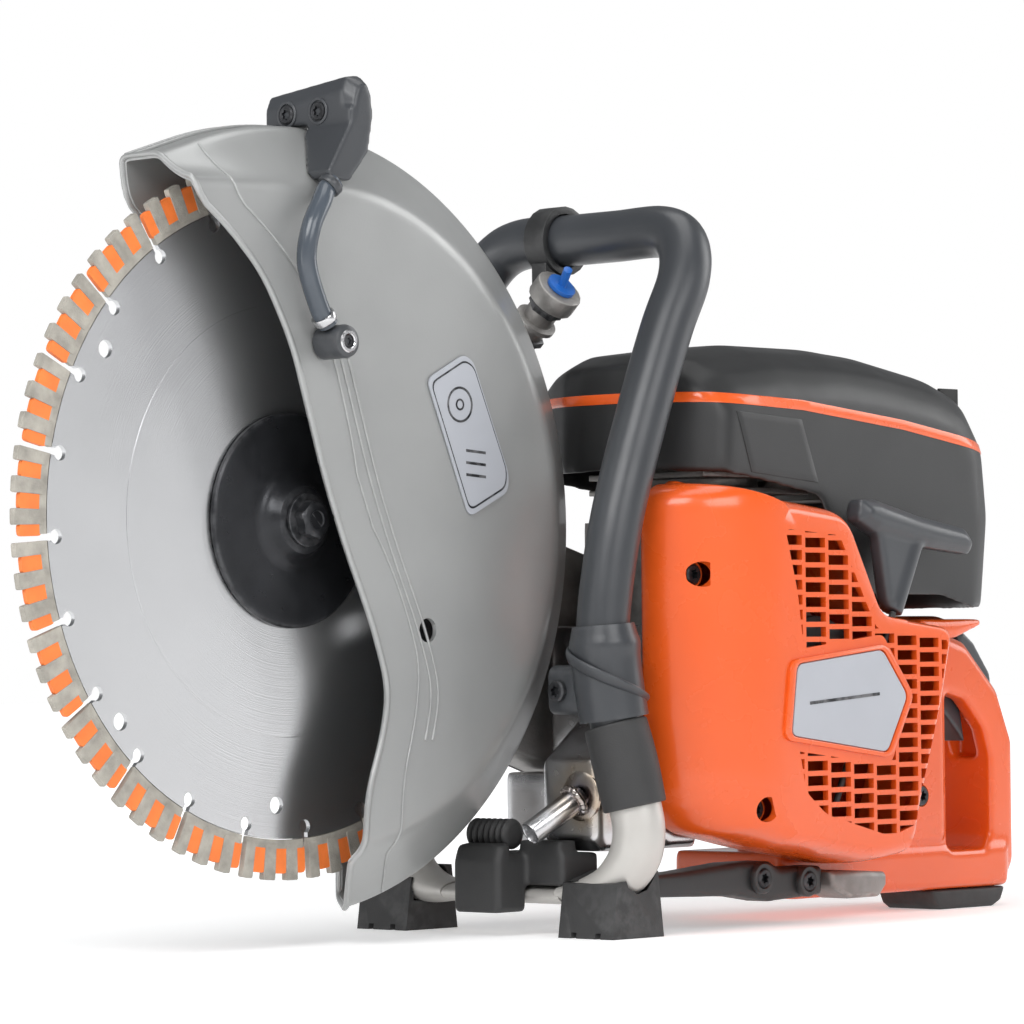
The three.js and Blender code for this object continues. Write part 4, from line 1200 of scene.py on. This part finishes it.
def make_stage():
    floor = mesh_object("floor", [
        (-FLOOR_HALF, -FLOOR_HALF, GROUND), (FLOOR_HALF, -FLOOR_HALF, GROUND),
        (FLOOR_HALF, FLOOR_HALF, GROUND), (-FLOOR_HALF, FLOOR_HALF, GROUND)], [(0, 1, 2, 3)])
    paint = Shader("floor_paint", (0.86, 0.86, 0.86), 0.6).vary(2, 0.01, 0.02).grain(300, 0.02)
    paint.surface.inputs["Emission Color"].default_value = (1, 1, 1, 1)
    away = paint.node("ShaderNodeVectorMath", operation="LENGTH")
    paint.link(paint.place, away.inputs[0])
    glow = paint.remap(away.outputs["Value"], FLOOR_GLOW, 0.95, 0.5, 1.6)
    paint.link(glow, paint.surface.inputs["Emission Strength"])
    floor.data.materials.append(paint.material)
    world = bpy.data.worlds.new("studio")
    bpy.context.scene.world = world
    world.use_nodes = True
    new = world.node_tree.nodes.new
    link = world.node_tree.links.new
    sky = world.node_tree.nodes["Background"]
    output = world.node_tree.nodes["World Output"]
    direction = new("ShaderNodeTexCoord")
    split = new("ShaderNodeSeparateXYZ")
    ramp = new("ShaderNodeValToRGB")
    low, high = ramp.color_ramp.elements
    low.position, low.color = 0.0, (0.60, 0.60, 0.61, 1)
    high.position, high.color = 0.5, (0.20, 0.205, 0.21, 1)
    backdrop = new("ShaderNodeBackground")
    backdrop.inputs["Color"].default_value = (1, 1, 1, 1)
    seen = new("ShaderNodeLightPath")
    mix = new("ShaderNodeMixShader")
    link(direction.outputs["Generated"], split.inputs[0])
    link(split.outputs["Z"], ramp.inputs[0])
    link(ramp.outputs[0], sky.inputs["Color"])
    link(seen.outputs["Is Camera Ray"], mix.inputs[0])
    link(sky.outputs[0], mix.inputs[1])
    link(backdrop.outputs[0], mix.inputs[2])
    link(mix.outputs[0], output.inputs["Surface"])


def area_light(name, place_mm, aim_mm, size, power):
    data = bpy.data.lights.new(name, "AREA")
    data.shape = "RECTANGLE"
    data.size, data.size_y = size
    data.energy = power
    lamp = added(name, data)
    lamp.location = at(*place_mm)
    lamp.rotation_euler = (at(*aim_mm) - lamp.location).to_track_quat("-Z", "Y").to_euler()


# each lamp's place in mm, its size in m and its power in W
LAMPS = {
    "key": ((1500, 700, 1300), (1.2, 0.9), 26),
    "side": ((300, 1900, 900), (1.2, 0.8), 14),
    "top": ((-250, 100, 1700), (1.6, 1.0), 12),
    "front": ((1800, -600, 350), (0.7, 1.3), 9),
    "back": ((-1700, 700, 700), (0.8, 1.2), 10),
}
LIT_POINT = (-150, 20, 0)


def make_lights():
    for name, (stand, size, power) in LAMPS.items():
        area_light(name, stand, LIT_POINT, size, power)


CAMERA = {
    "azimuth": 43.567, "rise": -1.673, "roll": 0.620, "lens": 166.9,
    "blade": (-109.996, 4.320, 2315.063),
}


def make_camera():
    """The blade's centre stands at a known place in the camera's view: right, down and ahead."""
    azimuth, rise, roll = (radians(CAMERA[key]) for key in ("azimuth", "rise", "roll"))
    ahead = -Vector((
        cos(rise) * cos(azimuth), cos(rise) * sin(azimuth), sin(rise)))
    level = ahead.cross(Vector((0, 0, 1))).normalized()
    down = ahead.cross(level)
    right = level * cos(roll) + down * sin(roll)
    down = down * cos(roll) - level * sin(roll)
    turn = Matrix((right, down, ahead)).transposed()
    data = bpy.data.cameras.new("camera")
    data.lens = CAMERA["lens"]
    data.sensor_width = 36
    camera = added("camera", data)
    place_mm = -(turn @ Vector(CAMERA["blade"]))
    facing = Matrix((right, -down, -ahead)).transposed().to_4x4()
    camera.matrix_world = Matrix.Translation(at(*place_mm)) @ facing
    bpy.context.scene.camera = camera


make_camera()
make_stage()
make_lights()
make_blade()
make_flanges()
make_guard()
make_guard_plate()
make_guard_grip()
make_hose()
make_starter()
make_badge()
make_starter_handle()
make_top_cover()
make_front_handle()
make_lower_handle()
make_feet()
make_muffler()
make_underside()
make_valve()
make_rear_handle()
make_rest()
bpy.context.scene.view_settings.view_transform = "Standard"
